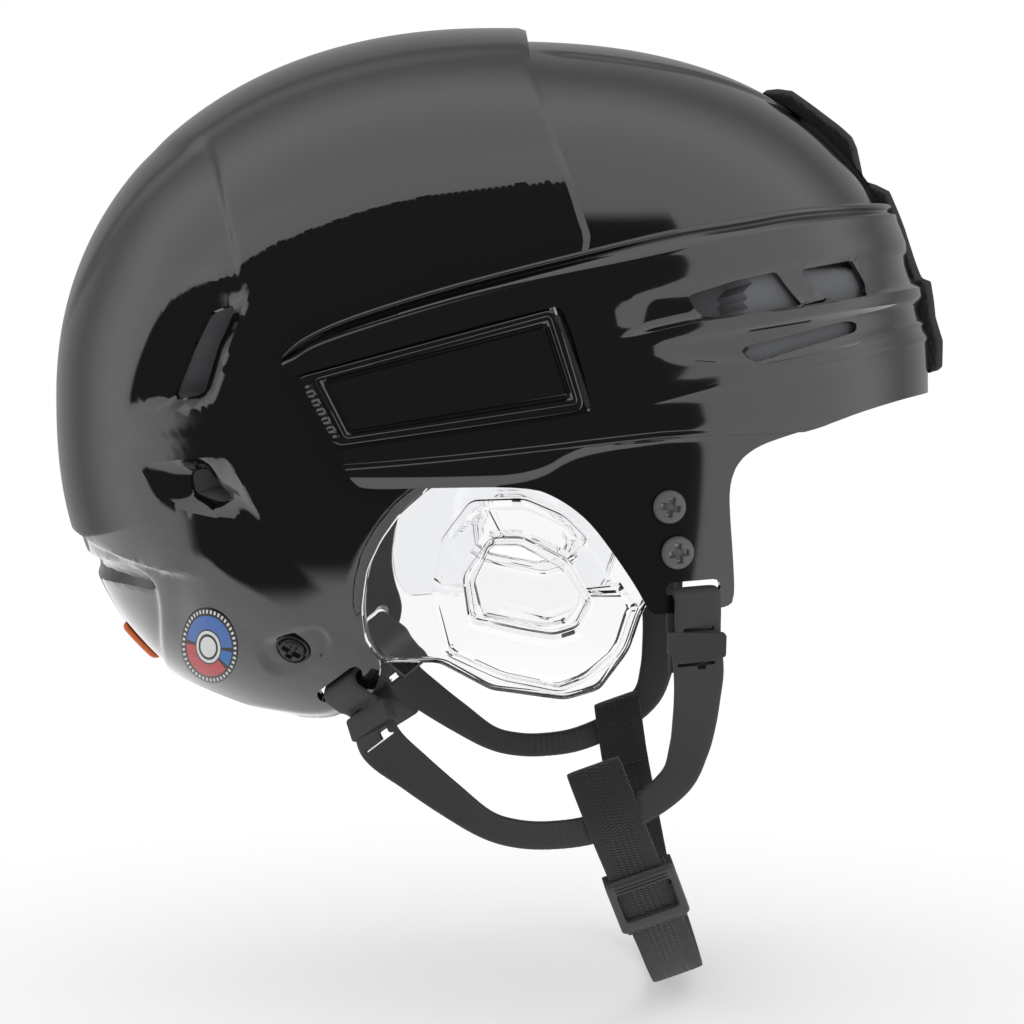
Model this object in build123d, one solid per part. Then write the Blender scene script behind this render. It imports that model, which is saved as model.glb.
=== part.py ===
from build123d import *
import math
import os

# Ice hockey helmet, millimetres. X points to the wearer's front, Y to the wearer's left, Z up.
# The origin is midway between the ears. Pieces are made for the right side (negative Y) and mirrored.

# Overall shell sizes, measured from the middle of the dome
SHELL_REACH = 136.0        # to the back, and to the front as far as the rear shell goes
FRONT_REACH = 135.0        # to the front of the band
SHELL_RISE = 115.0         # to the crown
SHELL_DROP = 110.0         # down to where the rear shell would close
SHELL_HALF_WIDTH = 102.5   # to each side of the rear shell
DOME_AHEAD = -10.5         # the dome's middle, measured from the ears
DOME_ABOVE = 51.5

# Walls and gaps of the nested layers
WALL = 2.5
SHELL_GAP = 1.5            # between the rear shell and the tongue of the front shell under it
ARM_GAP = 2.2              # between the rear shell and the arm over it
ARM_WALL = 3.8
BAND_REAR_REACH = 175.0    # the band and arms run back straighter than the dome
BAND_TUCK = 1.0            # how much lower the band's crown would be than the rear shell's
BAND_DROP = 150.0
FRONT_STEP = 2.4           # how far the crown layer sits behind the band at the front
SEAT_GAP = 0.3             # between pieces that are seated on each other
CUT_OVERRUN = 60.0

# Dome curve
SIDE_POWER = 2.45
BACK_POWER = 2.16          # rounder behind and above the dome's middle
WIDTH_POWER = 2.4
SECTION_SHARES = (-0.985, -0.93, -0.82, -0.65, -0.4, 0.0, 0.4, 0.65, 0.82, 0.93, 0.985)
QUARTER_POINTS = 6

# Flip lever, its pin and the size rack
LEVER_WALL = 2.4
LEVER_GAP = 0.5
HINGE_DEPTH = 2.2          # from the arm's outside to the pin's middle
BARREL_RADIUS = 2.0
PIN_RADIUS = 1.1
PIN_PLAY = 0.06
EAR_RADIUS = 3.4
EAR_LENGTH = 4.5
EAR_GAP = 1.4              # between the lever's end and the ear
PAWL_WIDTH = 5.0
PAWL_LENGTH = 8.0
RACK_WIDTH = 8.0
RACK_LENGTH = 30.0
RACK_AHEAD = 9.0           # how far the rack reaches in front of the pawl's middle
RACK_TEETH = 8
TOOTH_DEPTH = 1.1

# Clear ear guard and the screws through the shells
GUARD_WALL = 1.6
SCREW_HEAD_RADIUS = 4.65
SCREW_HEAD_HEIGHT = 1.4
SCREW_RADIUS = 1.9
SCREW_LENGTH = 6.0
NUT_RADIUS = 2.9
NUT_PLAY = 0.1
NUT_FLANGE_RADIUS = 6.0
NUT_FLANGE_HEIGHT = 1.2
HOLE_PLAY = 0.15
CROSS_WIDTH = 1.1
CROSS_DEPTH = 0.9

# Loops that hold the chin strap
LOOP_WIDTH = 13.0
LOOP_BAR_WIDTH = 9.0
LOOP_WALL = 2.0
LOOP_BAR_WALL = 4.0
LOOP_GAP = 1.2
LOOP_TONGUE = 24.0         # from the slot to the end of the folded tongue
LOOP_BAR_HEIGHT = 11.5     # from the slot to below the shell's edge
SLOT_HEIGHT = 4.2
SLOT_EXTRA = 1.2
SLOT_DEPTH = 8.5
HOOK_TURNS = (135, 90, 45)
HALVINGS = 24

# Chin strap and its buckle
STRAP_WIDTH = 16.0
STRAP_THICKNESS = 1.5
STRAP_GAP = 0.9
STRAP_HANG = 81.0          # from the folds over the bars to the lowest point
STRAP_RISE = 16.5          # the folds stand this far above the bars
STRAP_LEAN = 19.7          # degrees that the hanging strap leans to the front
STRAP_SEW = 12.0           # from the bar to the sewn end of the fold
FOLD_RADIUS = 3.0
HANG_RADIUS = 55.0
BUCKLE_LENGTH = 22.0
BUCKLE_RAIL = 2.2
BUCKLE_HEIGHT = 5.2
BUCKLE_BAR = 4.6
BUCKLE_PLAY = 0.35
BUCKLE_DOWN = 27.0         # along the strap, from the bend below the bar to the buckle's middle

# Foam liner and soft pads
LINER_HALF_WIDTH = 82.0
LINER_REACH = 113.0
LINER_RISE = 95.0
LINER_DROP = 128.0
PAD_THICKNESS = 8.0
CROWN_PAD_HALF_WIDTH = 34.0

# Occipital cradle with its outside tab
CRADLE_WALL = 3.0
CRADLE_CLEARANCE = 4.5
CRADLE_HALF_WIDTH = 42.0
CRADLE_HALF_HEIGHT = 13.0
NECK_WIDTH = 10.0
NECK_LENGTH = 12.0
TAB_WIDTH = 17.0
TAB_LENGTH = 17.0
TAB_HEIGHT = 4.0
TAB_GAP = 0.6
TAB_POCKET = 1.6
ADJUST_TRAVEL = 6.0

# Forehead strip
STRIP_HALF_WIDTH = 17.0
STRIP_AHEAD = 4.5          # how far it stands in front of the band
STRIP_ABOVE = 4.5          # how far it stands above the crown

# Heights along the forehead, as shares of the shell's rise above the dome's middle
STRIP_LOW_SHARE = 0.085
STRIP_TOP_SHARE = 0.572
FOREHEAD_VENT_SHARES = (0.204, 0.307, 0.409)
CRADLE_HEIGHT_SHARE = -0.654
PAWL_BACK_SHARE = 0.62     # how far back along the lever its pawl stands
BAR_STATION_SHARE = 0.5    # where along the loop's table the strap hangs
STRAP_LOW_SHARES = (0.68, 0.72)  # the strap's lower bend: share of the bar's side and of the fall
STRAP_END_SHARE = 0.36     # the side share where the strap's lowest stretch begins

# Outlines seen from the side, as shares of the shell's reach and rise from the dome's middle
TONGUE_SHARES = ((-0.184, 1.206), (-0.184, 0.526), (0.166, 0.395), (0.254, 0.378), (0.386, 0.43),
                 (0.511, 0.454), (0.644, 0.486), (0.849, 0.509), (1.182, 0.509), (1.182, 1.206))
TOP_LINE_SHARES = ((-0.424, 0.147), (-0.393, 0.188), (-0.31, 0.225), (-0.147, 0.287), (0.016, 0.34),
                   (0.22, 0.4), (0.386, 0.448), (0.511, 0.471), (0.644, 0.504), (0.849, 0.526),
                   (1.182, 0.539))
RIDGE_START_SHARES = (0.235, 0.405)
BROW_SHARES = ((1.182, 0.031), (1.02, 0.027), (0.921, 0.026), (0.795, -0.005), (0.704, -0.039),
               (0.616, -0.067), (0.553, -0.092), (0.51, -0.133), (0.496, -0.194), (0.499, -0.268),
               (0.506, -0.367), (0.51, -0.472), (0.5, -0.492), (0.463, -0.496), (0.363, -0.505),
               (0.335, -0.507), (0.304, -0.441), (0.252, -0.349), (0.199, -0.268), (0.138, -0.214),
               (0.077, -0.183), (-0.128, -0.185), (-0.277, -0.195), (-0.301, -0.137), (-0.353, -0.033),
               (-0.408, 0.094))
ARM_SHARES = ((-0.508, 0.422), (0.223, 0.422), (0.249, 0.16), (0.259, -0.097), (-0.508, -0.097))
PANEL_SHARES = ((-0.417, 0.143), (0.128, 0.23), (0.199, 0.008), (-0.29, -0.084))
REAR_SHARES = ((0.069, 1.206), (0.069, 0.929), (0.11, 0.791), (0.134, 0.686), (0.16, 0.584),
               (0.19, 0.485), (0.214, 0.405), (0.136, 0.283), (0.004, 0.126), (0.004, -0.174),
               (-0.129, -0.179), (-0.188, -0.256), (-0.214, -0.326), (-0.209, -0.465), (-0.217, -0.569),
               (-0.238, -0.657), (-0.259, -0.733), (-0.311, -0.791), (-0.382, -0.831), (-0.507, -0.818),
               (-0.633, -0.811), (-0.745, -0.769), (-1.099, -0.64), (-1.099, 1.206))
FRONT_VENT_SHARES = (((0.404, 0.287), (0.535, 0.317), (0.519, 0.225), (0.425, 0.215)), ((0.621, 0.347),
                     (0.753, 0.364), (0.794, 0.344), (0.816, 0.27), (0.664, 0.248)), ((0.513, 0.151),
                     (0.767, 0.23), (0.791, 0.204), (0.749, 0.17), (0.54, 0.108)))
REAR_VENT_SHARES = (((-0.596, 0.254), (-0.558, 0.264), (-0.581, 0.158), (-0.626, 0.032), (-0.689, 0.016),
                    (-0.649, 0.158)), ((-0.732, -0.154), (-0.622, -0.145), (-0.565, -0.253),
                    (-0.679, -0.227)))
GUARD_SHARES = ((0.313, -0.499), (0.287, -0.595), (0.225, -0.698), (0.151, -0.722), (-0.006, -0.696),
                (-0.115, -0.623), (-0.236, -0.624), (-0.266, -0.574), (-0.275, -0.495), (-0.262, -0.392),
                (-0.232, -0.317), (-0.191, -0.247), (-0.135, -0.189), (-0.114, -0.112), (0.311, -0.112),
                (0.438, -0.133), (0.438, -0.393), (0.358, -0.409))
EAR_HOLE_SHARES = ((0.016, -0.33), (0.097, -0.341), (0.18, -0.405), (0.202, -0.479), (0.165, -0.548),
                   (0.098, -0.558), (-0.036, -0.511), (-0.055, -0.44), (-0.027, -0.366))
FRONT_SLOT_SHARES = ((0.362, -0.447), (0.475, -0.439))
REAR_SLOT_SHARES = ((-0.373, -0.738), (-0.283, -0.663))
VISOR_SCREW_SHARES = ((0.364, -0.233), (0.382, -0.346))
REAR_SCREW_SHARES = (-0.426, -0.606)

# Liner and pad outlines, as the same shares
BROW_LINER_SHARES = ((0.259, 0.352), (0.386, 0.404), (0.644, 0.46), (1.14, 0.49), (1.14, 0.061),
                     (0.795, 0.031), (0.616, -0.031), (0.467, -0.072), (0.259, -0.072))
CROWN_LINER_SHARES = ((-0.171, 0.511), (0.104, 0.398), (0.104, -0.061), (0.233, -0.061), (0.233, 0.378),
                      (0.386, 0.434), (0.644, 0.49), (1.14, 0.521), (1.14, 1.124), (-0.171, 1.124))
REAR_LINER_SHARES = ((-0.207, 0.358), (-0.207, 0.0), (-0.353, -0.072), (-0.456, -0.307), (-0.518, -0.429),
                     (-1.14, -0.429), (-1.14, 0.358))
REAR_CROWN_LINER_SHARES = ((-0.213, 0.388), (-1.14, 0.388), (-1.14, 1.124), (-0.213, 1.124))
STRIP_SHARES = ((0.62, 0.613), (0.62, 1.124), (1.244, 1.124), (1.244, 0.1), (0.829, 0.1))
BROW_PAD_SHARES = ((0.549, 0.307), (1.14, 0.307), (1.14, 0.082), (0.798, 0.061), (0.581, 0.0))
TEMPLE_PAD_SHARES = ((0.124, 0.307), (0.498, 0.307), (0.518, 0.0), (0.415, -0.041), (0.124, -0.041))
CROWN_PAD_SHARES = ((-0.104, 0.511), (0.518, 0.511), (0.518, 1.124), (-0.104, 1.124))
REAR_PAD_SHARES = ((-0.746, -0.255), (-1.037, -0.255), (-1.037, 0.307), (-0.746, 0.307))

# The loop's stations from the front slot to the rear one: shares of reach and rise, then its distance from
# the middle plane as a share of the shell's half width, then how bar-like it is, from 0 to 1
LOOP_SHARES = ((0.422, -0.578, 0.97, 0.0), (0.427, -0.642, 0.948, 0.0), (0.426, -0.704, 0.925, 0.1),
               (0.421, -0.769, 0.902, 0.3), (0.411, -0.842, 0.88, 0.5), (0.385, -0.922, 0.862, 0.8),
               (0.314, -0.995, 0.848, 1.0), (0.213, -1.049, 0.839, 1.0), (0.123, -1.066, 0.832, 1.0),
               (0.046, -1.063, 0.824, 1.0), (-0.019, -1.039, 0.812, 1.0), (-0.096, -0.978, 0.793, 0.7),
               (-0.169, -0.915, 0.77, 0.4), (-0.238, -0.848, 0.748, 0.1))


def side_point(share):
    """A side-view point from shares of reach and rise about the dome's middle."""
    return (DOME_AHEAD + share[0] * SHELL_REACH, DOME_ABOVE + share[1] * SHELL_RISE)


def rear_layer(inset):
    """Front reach, rear reach, rise, drop and half width of the rear shell's dome, drawn in by inset."""
    return (SHELL_REACH - inset, SHELL_REACH - inset, SHELL_RISE - inset, SHELL_DROP - inset,
            SHELL_HALF_WIDTH - inset)


def crown_layer(inset):
    """The front shell's crown dome, which slips under the rear shell's."""
    tuck = inset + WALL + SHELL_GAP
    return (FRONT_REACH - FRONT_STEP - inset, SHELL_REACH - tuck, SHELL_RISE - tuck, BAND_DROP - tuck,
            SHELL_HALF_WIDTH - tuck)


def band_layer(inset):
    """The band and arm dome, which stands outside the rear shell's at the sides."""
    return (FRONT_REACH - inset, BAND_REAR_REACH - inset, SHELL_RISE - BAND_TUCK - inset, BAND_DROP - inset,
            SHELL_HALF_WIDTH + ARM_GAP + ARM_WALL - inset)


def guard_layer(inset):
    """The ear guard's dome, against the inside of the front shell's band."""
    return band_layer(WALL + SEAT_GAP + inset)


def strip_layer():
    """The outside of the forehead strip, which stands in front of the band and above the crown."""
    front, back, rise, drop, half_width = crown_layer(-SEAT_GAP)
    return FRONT_REACH + STRIP_AHEAD, back, rise + STRIP_ABOVE, drop, half_width


def liner_layer(inset):
    """The inner face of the foam liner, drawn in by inset."""
    return (LINER_REACH - inset, LINER_REACH - inset, LINER_RISE - inset, LINER_DROP - inset,
            LINER_HALF_WIDTH - inset)


def dome_profile(layer, share):
    """The closed side-view curve of a layer where Y is this share of its half width, in four quarters."""
    front, back, rise, drop, half_width = layer
    shrink = (1 - abs(share) ** WIDTH_POWER) ** (1 / WIDTH_POWER)
    quarters = []
    for quarter in range(4):
        reach = front if quarter in (0, 3) else back
        height = rise if quarter in (0, 1) else drop
        power = BACK_POWER if quarter == 1 else SIDE_POWER
        points = []
        for index in range(QUARTER_POINTS + 1):
            turn = math.pi / 2 * (quarter + index / QUARTER_POINTS)
            across, up = math.cos(turn), math.sin(turn)
            x = DOME_AHEAD + shrink * reach * math.copysign(abs(across) ** (2 / power), across)
            z = DOME_ABOVE + shrink * height * math.copysign(abs(up) ** (2 / power), up)
            points.append(Vector(x, share * half_width, z))
        tangents = [Vector(-math.sin(turn), 0, math.cos(turn))
                    for turn in (math.pi / 2 * quarter, math.pi / 2 * (quarter + 1))]
        quarters.append(Edge.make_spline(points, tangents=tangents))
    return Wire(quarters)


DOMES = {}


def dome(layer):
    """A solid dome lofted through its side-view profiles, made once for each layer."""
    if layer not in DOMES:
        DOMES[layer] = Solid.make_loft([dome_profile(layer, share) for share in SECTION_SHARES], False)
    return DOMES[layer]


def side_ratio(layer, x, z):
    """How near a side-view point is to a layer's outline, from 0 at the dome's middle to 1 on it."""
    front, back, rise, drop, half_width = layer
    across, up = x - DOME_AHEAD, z - DOME_ABOVE
    power = BACK_POWER if across < 0 < up else SIDE_POWER
    ratio = abs(across / (front if across > 0 else back)) ** power
    ratio += abs(up / (rise if up > 0 else drop)) ** power
    return ratio ** (WIDTH_POWER / power)


def side_of(layer, x, z):
    """How far a layer's surface lies from the middle plane at this side-view point."""
    return layer[-1] * (1 - side_ratio(layer, x, z)) ** (1 / WIDTH_POWER)


def surface_plane(layer, x, z):
    """A plane on the right side of a layer, its Z pointing out and its X to the front."""
    step = WALL
    here = Vector(x, -side_of(layer, x, z), z)
    ahead = Vector(x + step, -side_of(layer, x + step, z), z) - here
    above = Vector(x, -side_of(layer, x, z + step), z + step) - here
    return Plane(origin=here, x_dir=ahead, z_dir=ahead.cross(above))


def prism(points, low=None):
    """A block with this side-view outline, from Y low to the middle plane, so on the right side only."""
    low = -SHELL_HALF_WIDTH - CUT_OVERRUN if low is None else low
    face = Face(Wire.make_polygon([Vector(x, low, z) for x, z in points], close=True))
    return Solid.extrude(face, Vector(0, -low, 0))


def share_prism(shares):
    """A right-side block from an outline in shares."""
    return prism([side_point(share) for share in shares])


def left_copy(shape):
    """The same piece for the wearer's left."""
    return mirror(shape, about=Plane.XZ)


def whole(half):
    """A right half joined to its mirror copy."""
    return half.fuse(left_copy(half))


def pair(shape):
    """One node of fasteners: the right ones and their mirror copies."""
    return Compound(children=[*shape, *[left_copy(piece) for piece in shape]])


def oblong(plane, length, height):
    """A rounded slot cutter through a surface plane, along the plane's X."""
    return extrude(plane * SlotOverall(length, height), amount=SLOT_DEPTH, both=True)


def cylinder(plane, radius, low, high):
    """A cylinder on a plane's Z from low to high."""
    start = Plane(origin=plane.origin + plane.z_dir * low, x_dir=plane.x_dir, z_dir=plane.z_dir)
    return Solid.make_cylinder(radius, high - low, start)


def block(plane, size, low, high):
    """A block centred on a plane's X and Y from low to high along its Z."""
    return plane * Pos(0, 0, (low + high) / 2) * Box(size[0], size[1], high - low)


def ridge_outline():
    """The thin strip below the top line that joins the crown to the band."""
    start = side_point(RIDGE_START_SHARES)
    line = [side_point(share) for share in TOP_LINE_SHARES if share[0] > RIDGE_START_SHARES[0]]
    upper = [start] + line
    return upper + [(x, z - 3 * WALL / 2) for x, z in reversed(upper)]


def hinge_ends():
    """The two ends of the lever's hinge line on the right side, at the pin's depth."""
    layer = band_layer(HINGE_DEPTH)
    ends = [side_point(share) for share in PANEL_SHARES[1:3]]
    return [Vector(x, -side_of(layer, x, z), z) for x, z in ends]


def hinge_rod(radius, extra):
    """A rod along the hinge line, longer than the lever's edge by extra at each end."""
    top, bottom = hinge_ends()
    along = (bottom - top).normalized()
    return Solid.make_cylinder(radius, (bottom - top).length + 2 * extra,
                               Plane(origin=top - along * extra, z_dir=along))


def hinge_quad(start, end, half_width):
    """A side-view quad along the hinge line, from start to end past the lever's top edge."""
    top, bottom = hinge_ends()
    along = Vector(bottom.X - top.X, 0, bottom.Z - top.Z).normalized()
    across = Vector(along.Z, 0, -along.X)
    first, last = top + along * start, top + along * end
    corners = (first + across * half_width, first - across * half_width,
               last - across * half_width, last + across * half_width)
    return [(corner.X, corner.Z) for corner in corners]


def hinge_length():
    """The length of the lever's front edge in the side view."""
    top, bottom = hinge_ends()
    return math.hypot(bottom.X - top.X, bottom.Z - top.Z)


def hinge_ears():
    """The two blocks behind the arm's wall that hold one lever's pin."""
    ears = []
    for start in (-EAR_GAP - EAR_LENGTH, hinge_length() + EAR_GAP):
        ear = prism(hinge_quad(start, start + EAR_LENGTH, EAR_RADIUS)) & dome(band_layer(WALL / 4))
        ears.append(ear - dome(band_layer(HINGE_DEPTH + EAR_RADIUS)))
    return ears


def pocket_outline():
    """The lever's pocket in the arm, open at the arm's rear end."""
    back_top, front_top, front_low, back_low = [side_point(share) for share in PANEL_SHARES]
    past = (front_top[0] - back_top[0]) / 5
    slope_top = (front_top[1] - back_top[1]) / (front_top[0] - back_top[0])
    slope_low = (front_low[1] - back_low[1]) / (front_low[0] - back_low[0])
    return [(back_top[0] - past, back_top[1] - past * slope_top + LEVER_GAP),
            (front_top[0], front_top[1] + LEVER_GAP), (front_low[0], front_low[1] - LEVER_GAP),
            (back_low[0] - past, back_low[1] - past * slope_low - LEVER_GAP)]


def pawl_place():
    """Where the lever's pawl stands, in the side view."""
    back_top, front_top, front_low, back_low = [side_point(share) for share in PANEL_SHARES]
    back = [(top + low) / 2 for top, low in zip(back_top, back_low)]
    front = [(top + low) / 2 for top, low in zip(front_top, front_low)]
    return [start + (end - start) * PAWL_BACK_SHARE for start, end in zip(front, back)]


def quad(middle, length, height):
    """A side-view rectangle about its middle."""
    x, z = middle
    return [(x - length / 2, z - height / 2), (x + length / 2, z - height / 2),
            (x + length / 2, z + height / 2), (x - length / 2, z + height / 2)]


def lever_room():
    """The room for the lever: its pocket, the barrel's trough and the pawl's window."""
    pocket = prism(pocket_outline()) - dome(band_layer(LEVER_WALL + SEAT_GAP))
    trough = hinge_quad(-LEVER_GAP, hinge_length() + LEVER_GAP, BARREL_RADIUS + LEVER_GAP)
    window = quad(pawl_place(), PAWL_LENGTH + 4 * LEVER_GAP, PAWL_WIDTH + 4 * LEVER_GAP)
    return [pocket, prism(trough), prism(window)]


def right_lever():
    """The flip lever that locks the size: a curved plate, its hinge barrel and its pawl."""
    outline = [side_point(share) for share in PANEL_SHARES]
    plate = (dome(band_layer(0)) - dome(band_layer(LEVER_WALL))) & prism(outline)
    pawl = dome(band_layer(LEVER_WALL / 2)) - dome(rear_layer(-SEAT_GAP))
    pawl = pawl & prism(quad(pawl_place(), PAWL_LENGTH, PAWL_WIDTH))
    lever = plate.fuse(pawl, hinge_rod(BARREL_RADIUS, 0))
    return lever.cut(hinge_rod(PIN_RADIUS + PIN_PLAY, LEVER_GAP))


def rack_middle():
    """The middle of the size rack, under the pawl and behind it."""
    x, z = pawl_place()
    return x + RACK_AHEAD - RACK_LENGTH / 2, z


def right_size_rack():
    """The toothed strip let into the rear shell under the lever's pawl."""
    strip = dome(rear_layer(0)) - dome(rear_layer(WALL))
    strip = strip & prism(quad(rack_middle(), RACK_LENGTH, RACK_WIDTH))
    pitch = RACK_LENGTH / RACK_TEETH
    x, z = rack_middle()
    notches = [quad((x - RACK_LENGTH / 2 + pitch * (index + 1 / 2), z), pitch / 2, 2 * RACK_WIDTH)
               for index in range(RACK_TEETH)]
    bottom = dome(rear_layer(TOOTH_DEPTH))
    return strip.cut(*[prism(notch) - bottom for notch in notches])


def screw_planes():
    """Planes on the front shell where the visor screws sit."""
    return [surface_plane(band_layer(0), *side_point(share)) for share in VISOR_SCREW_SHARES]


def rear_screw_plane():
    """The plane on the rear shell where the strap screw sits."""
    return surface_plane(rear_layer(0), *side_point(REAR_SCREW_SHARES))


def depth_between(plane, outer, inner):
    """How far the inner layer lies below the outer one, along a plane's Z."""
    x, z = plane.origin.X, plane.origin.Z
    return (side_of(outer, x, z) - side_of(inner, x, z)) * abs(plane.z_dir.Y)


def guard_depth(plane):
    """From the front shell's outside to the ear guard's inside."""
    return depth_between(plane, band_layer(0), guard_layer(GUARD_WALL))


def sag(plane, layer, ahead, up):
    """How far a layer curves away below a plane that touches it, at this place in the plane."""
    place = plane.origin + plane.x_dir * ahead + plane.y_dir * up
    low, high = 0, SHELL_HALF_WIDTH / 2
    for _ in range(HALVINGS):
        depth = (low + high) / 2
        point = place - plane.z_dir * depth
        fullness = side_ratio(layer, point.X, point.Z) + abs(point.Y / layer[-1]) ** WIDTH_POWER
        low, high = (depth, high) if fullness > 1 else (low, depth)
    return high


def screw(plane):
    """A cross-headed screw, its head resting on the shell."""
    head = cylinder(plane, SCREW_HEAD_RADIUS, SEAT_GAP / 2, SEAT_GAP / 2 + SCREW_HEAD_HEIGHT)
    shank = cylinder(plane, SCREW_RADIUS, -SCREW_LENGTH, SEAT_GAP)
    top = SEAT_GAP / 2 + SCREW_HEAD_HEIGHT
    crosses = [block(plane, size, top - CROSS_DEPTH, top + CROSS_DEPTH)
               for size in ((SCREW_HEAD_RADIUS, CROSS_WIDTH), (CROSS_WIDTH, SCREW_HEAD_RADIUS))]
    return head.fuse(shank).cut(*crosses)


def nut_hole(plane):
    """The hole through a wall for a T-nut's barrel."""
    return cylinder(plane, NUT_RADIUS + HOLE_PLAY, -CUT_OVERRUN / 2, WALL)


def nut(plane, depth):
    """A T-nut whose flange bears on the inside at this depth, with its barrel up through the wall."""
    flange = cylinder(plane, NUT_FLANGE_RADIUS, -depth - NUT_FLANGE_HEIGHT, -depth)
    barrel = cylinder(plane, NUT_RADIUS, -depth - NUT_FLANGE_HEIGHT / 2, -SEAT_GAP)
    return flange.fuse(barrel).cut(cylinder(plane, SCREW_RADIUS + NUT_PLAY, -CUT_OVERRUN / 2, WALL))


def slot_plane(layer, shares):
    """The plane of a loop slot, its X along the slot and its Z out of the shell."""
    (x0, z0), (x1, z1) = [side_point(share) for share in shares]
    base = surface_plane(layer, (x0 + x1) / 2, (z0 + z1) / 2)
    along = Vector(x1, -side_of(layer, x1, z1), z1) - Vector(x0, -side_of(layer, x0, z0), z0)
    return Plane(origin=base.origin, x_dir=along - base.z_dir * along.dot(base.z_dir), z_dir=base.z_dir)


def front_slot_plane():
    return slot_plane(band_layer(0), FRONT_SLOT_SHARES)


def rear_slot_plane():
    return slot_plane(rear_layer(0), REAR_SLOT_SHARES)


def slot_cutter(plane):
    """The slot that a loop's tongue goes through."""
    return oblong(plane, LOOP_WIDTH + 2 * SLOT_EXTRA, SLOT_HEIGHT)


def band_part():
    """The right half of the band round the forehead, thicker in the arm where the lever sits."""
    outline = [side_point(share) for share in TOP_LINE_SHARES + BROW_SHARES]
    band = dome(band_layer(0)) & prism(outline)
    inside = dome(band_layer(WALL)) - share_prism(ARM_SHARES)
    return band.cut(inside).cut(dome(band_layer(ARM_WALL)))


def forehead_block(half_width, low_extra):
    """A block about the forehead's middle, right half only."""
    low = DOME_ABOVE + STRIP_LOW_SHARE * SHELL_RISE - low_extra
    high = DOME_ABOVE + STRIP_TOP_SHARE * SHELL_RISE
    place = Pos(FRONT_REACH, -half_width / 2, (low + high) / 2)
    return place * Box(FRONT_REACH, half_width, high - low)


def forehead_vents():
    """Slots through the forehead strip and the panel behind it, on the right."""
    width = STRIP_HALF_WIDTH / 2
    return [Pos(DOME_AHEAD + FRONT_REACH, -width, DOME_ABOVE + share * SHELL_RISE) * Box(
        FRONT_REACH / 2, width, 2 * width / 3) for share in FOREHEAD_VENT_SHARES]


def front_shell():
    """The front shell: crown, tongue, band and arms in one moulding, with every opening cut."""
    crown = dome(crown_layer(0)) - dome(crown_layer(WALL))
    ridge = (dome(band_layer(0)) - dome(crown_layer(WALL))) & prism(ridge_outline())
    half = band_part().fuse(crown & share_prism(TONGUE_SHARES), ridge)
    half = half - forehead_block(STRIP_HALF_WIDTH + SEAT_GAP, 0)
    half = half.fuse(crown & forehead_block(STRIP_HALF_WIDTH + 2 * WALL, 2 * WALL))
    vents = [share_prism(shares) for shares in FRONT_VENT_SHARES] + forehead_vents()
    half = half.cut(*vents, *lever_room())
    half = half.cut(slot_cutter(front_slot_plane()), *[nut_hole(plane) for plane in screw_planes()])
    half = half.fuse(*hinge_ears())
    half = half.cut(hinge_rod(PIN_RADIUS + PIN_PLAY, EAR_GAP + EAR_LENGTH - LEVER_GAP))
    return whole(half)


def nape_plane():
    """The plane on the rear shell at the nape, its Y up along the slide and its Z out to the back."""
    def place(z):
        ratio = abs((z - DOME_ABOVE) / SHELL_DROP) ** SIDE_POWER
        return Vector(DOME_AHEAD - SHELL_REACH * (1 - ratio) ** (1 / SIDE_POWER), 0, z)
    height = DOME_ABOVE + CRADLE_HEIGHT_SHARE * SHELL_RISE
    up = place(height + NECK_LENGTH / 2) - place(height - NECK_LENGTH / 2)
    across = Vector(0, -1, 0)
    return Plane(origin=place(height), x_dir=across, z_dir=across.cross(up))


def rear_shell():
    """The rear shell, which slides back over the front shell's tongue and under its arms."""
    half = (dome(rear_layer(0)) - dome(rear_layer(WALL))) & share_prism(REAR_SHARES)
    half = half.cut(*[share_prism(shares) for shares in REAR_VENT_SHARES])
    rack_room = quad(rack_middle(), RACK_LENGTH + SEAT_GAP, RACK_WIDTH + SEAT_GAP)
    half = half.cut(prism(rack_room), slot_cutter(rear_slot_plane()))
    half = half.cut(nut_hole(rear_screw_plane()))
    slot = (NECK_WIDTH + 2 * LEVER_GAP, NECK_LENGTH + 2 * ADJUST_TRAVEL + 2 * LEVER_GAP)
    return whole(half).cut(block(nape_plane(), slot, -2 * WALL, WALL))


def right_ear_guard():
    """The clear ear guard, held between the front shell and the T-nuts."""
    guard = (dome(guard_layer(0)) - dome(guard_layer(GUARD_WALL))) & share_prism(GUARD_SHARES)
    guard = guard - share_prism(EAR_HOLE_SHARES)
    return guard.cut(*[nut_hole(plane) for plane in screw_planes()])


def forehead_strip():
    """The pebbled strip down the middle of the forehead, with its vents."""
    strip = dome(strip_layer()) - dome(crown_layer(-SEAT_GAP))
    outline = [side_point(share) for share in STRIP_SHARES]
    return whole((strip & prism(outline, low=-STRIP_HALF_WIDTH)).cut(*forehead_vents()))


def brow_liner():
    """The foam round the forehead, out to the band at the sides and to the vent panel in the middle."""
    foam = (dome(band_layer(WALL + SEAT_GAP)) - dome(liner_layer(0))) & share_prism(BROW_LINER_SHARES)
    panel = forehead_block(STRIP_HALF_WIDTH + 3 * WALL, 4 * WALL) - dome(crown_layer(WALL + SEAT_GAP))
    return whole(foam.cut(panel))


def crown_liner():
    """The foam under the front crown, with a leg down each temple."""
    foam = (dome(crown_layer(WALL + SEAT_GAP)) - dome(liner_layer(0))) & share_prism(CROWN_LINER_SHARES)
    return whole(foam)


def rear_liners():
    """The two foam pieces in the rear shell, vented like it: the upper and the lower one."""
    foam = dome(rear_layer(WALL + SEAT_GAP)) - dome(liner_layer(0))
    vents = [share_prism(shares) for shares in REAR_VENT_SHARES]
    return [whole((foam & share_prism(shares)).cut(*vents))
            for shares in (REAR_CROWN_LINER_SHARES, REAR_LINER_SHARES)]


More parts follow.
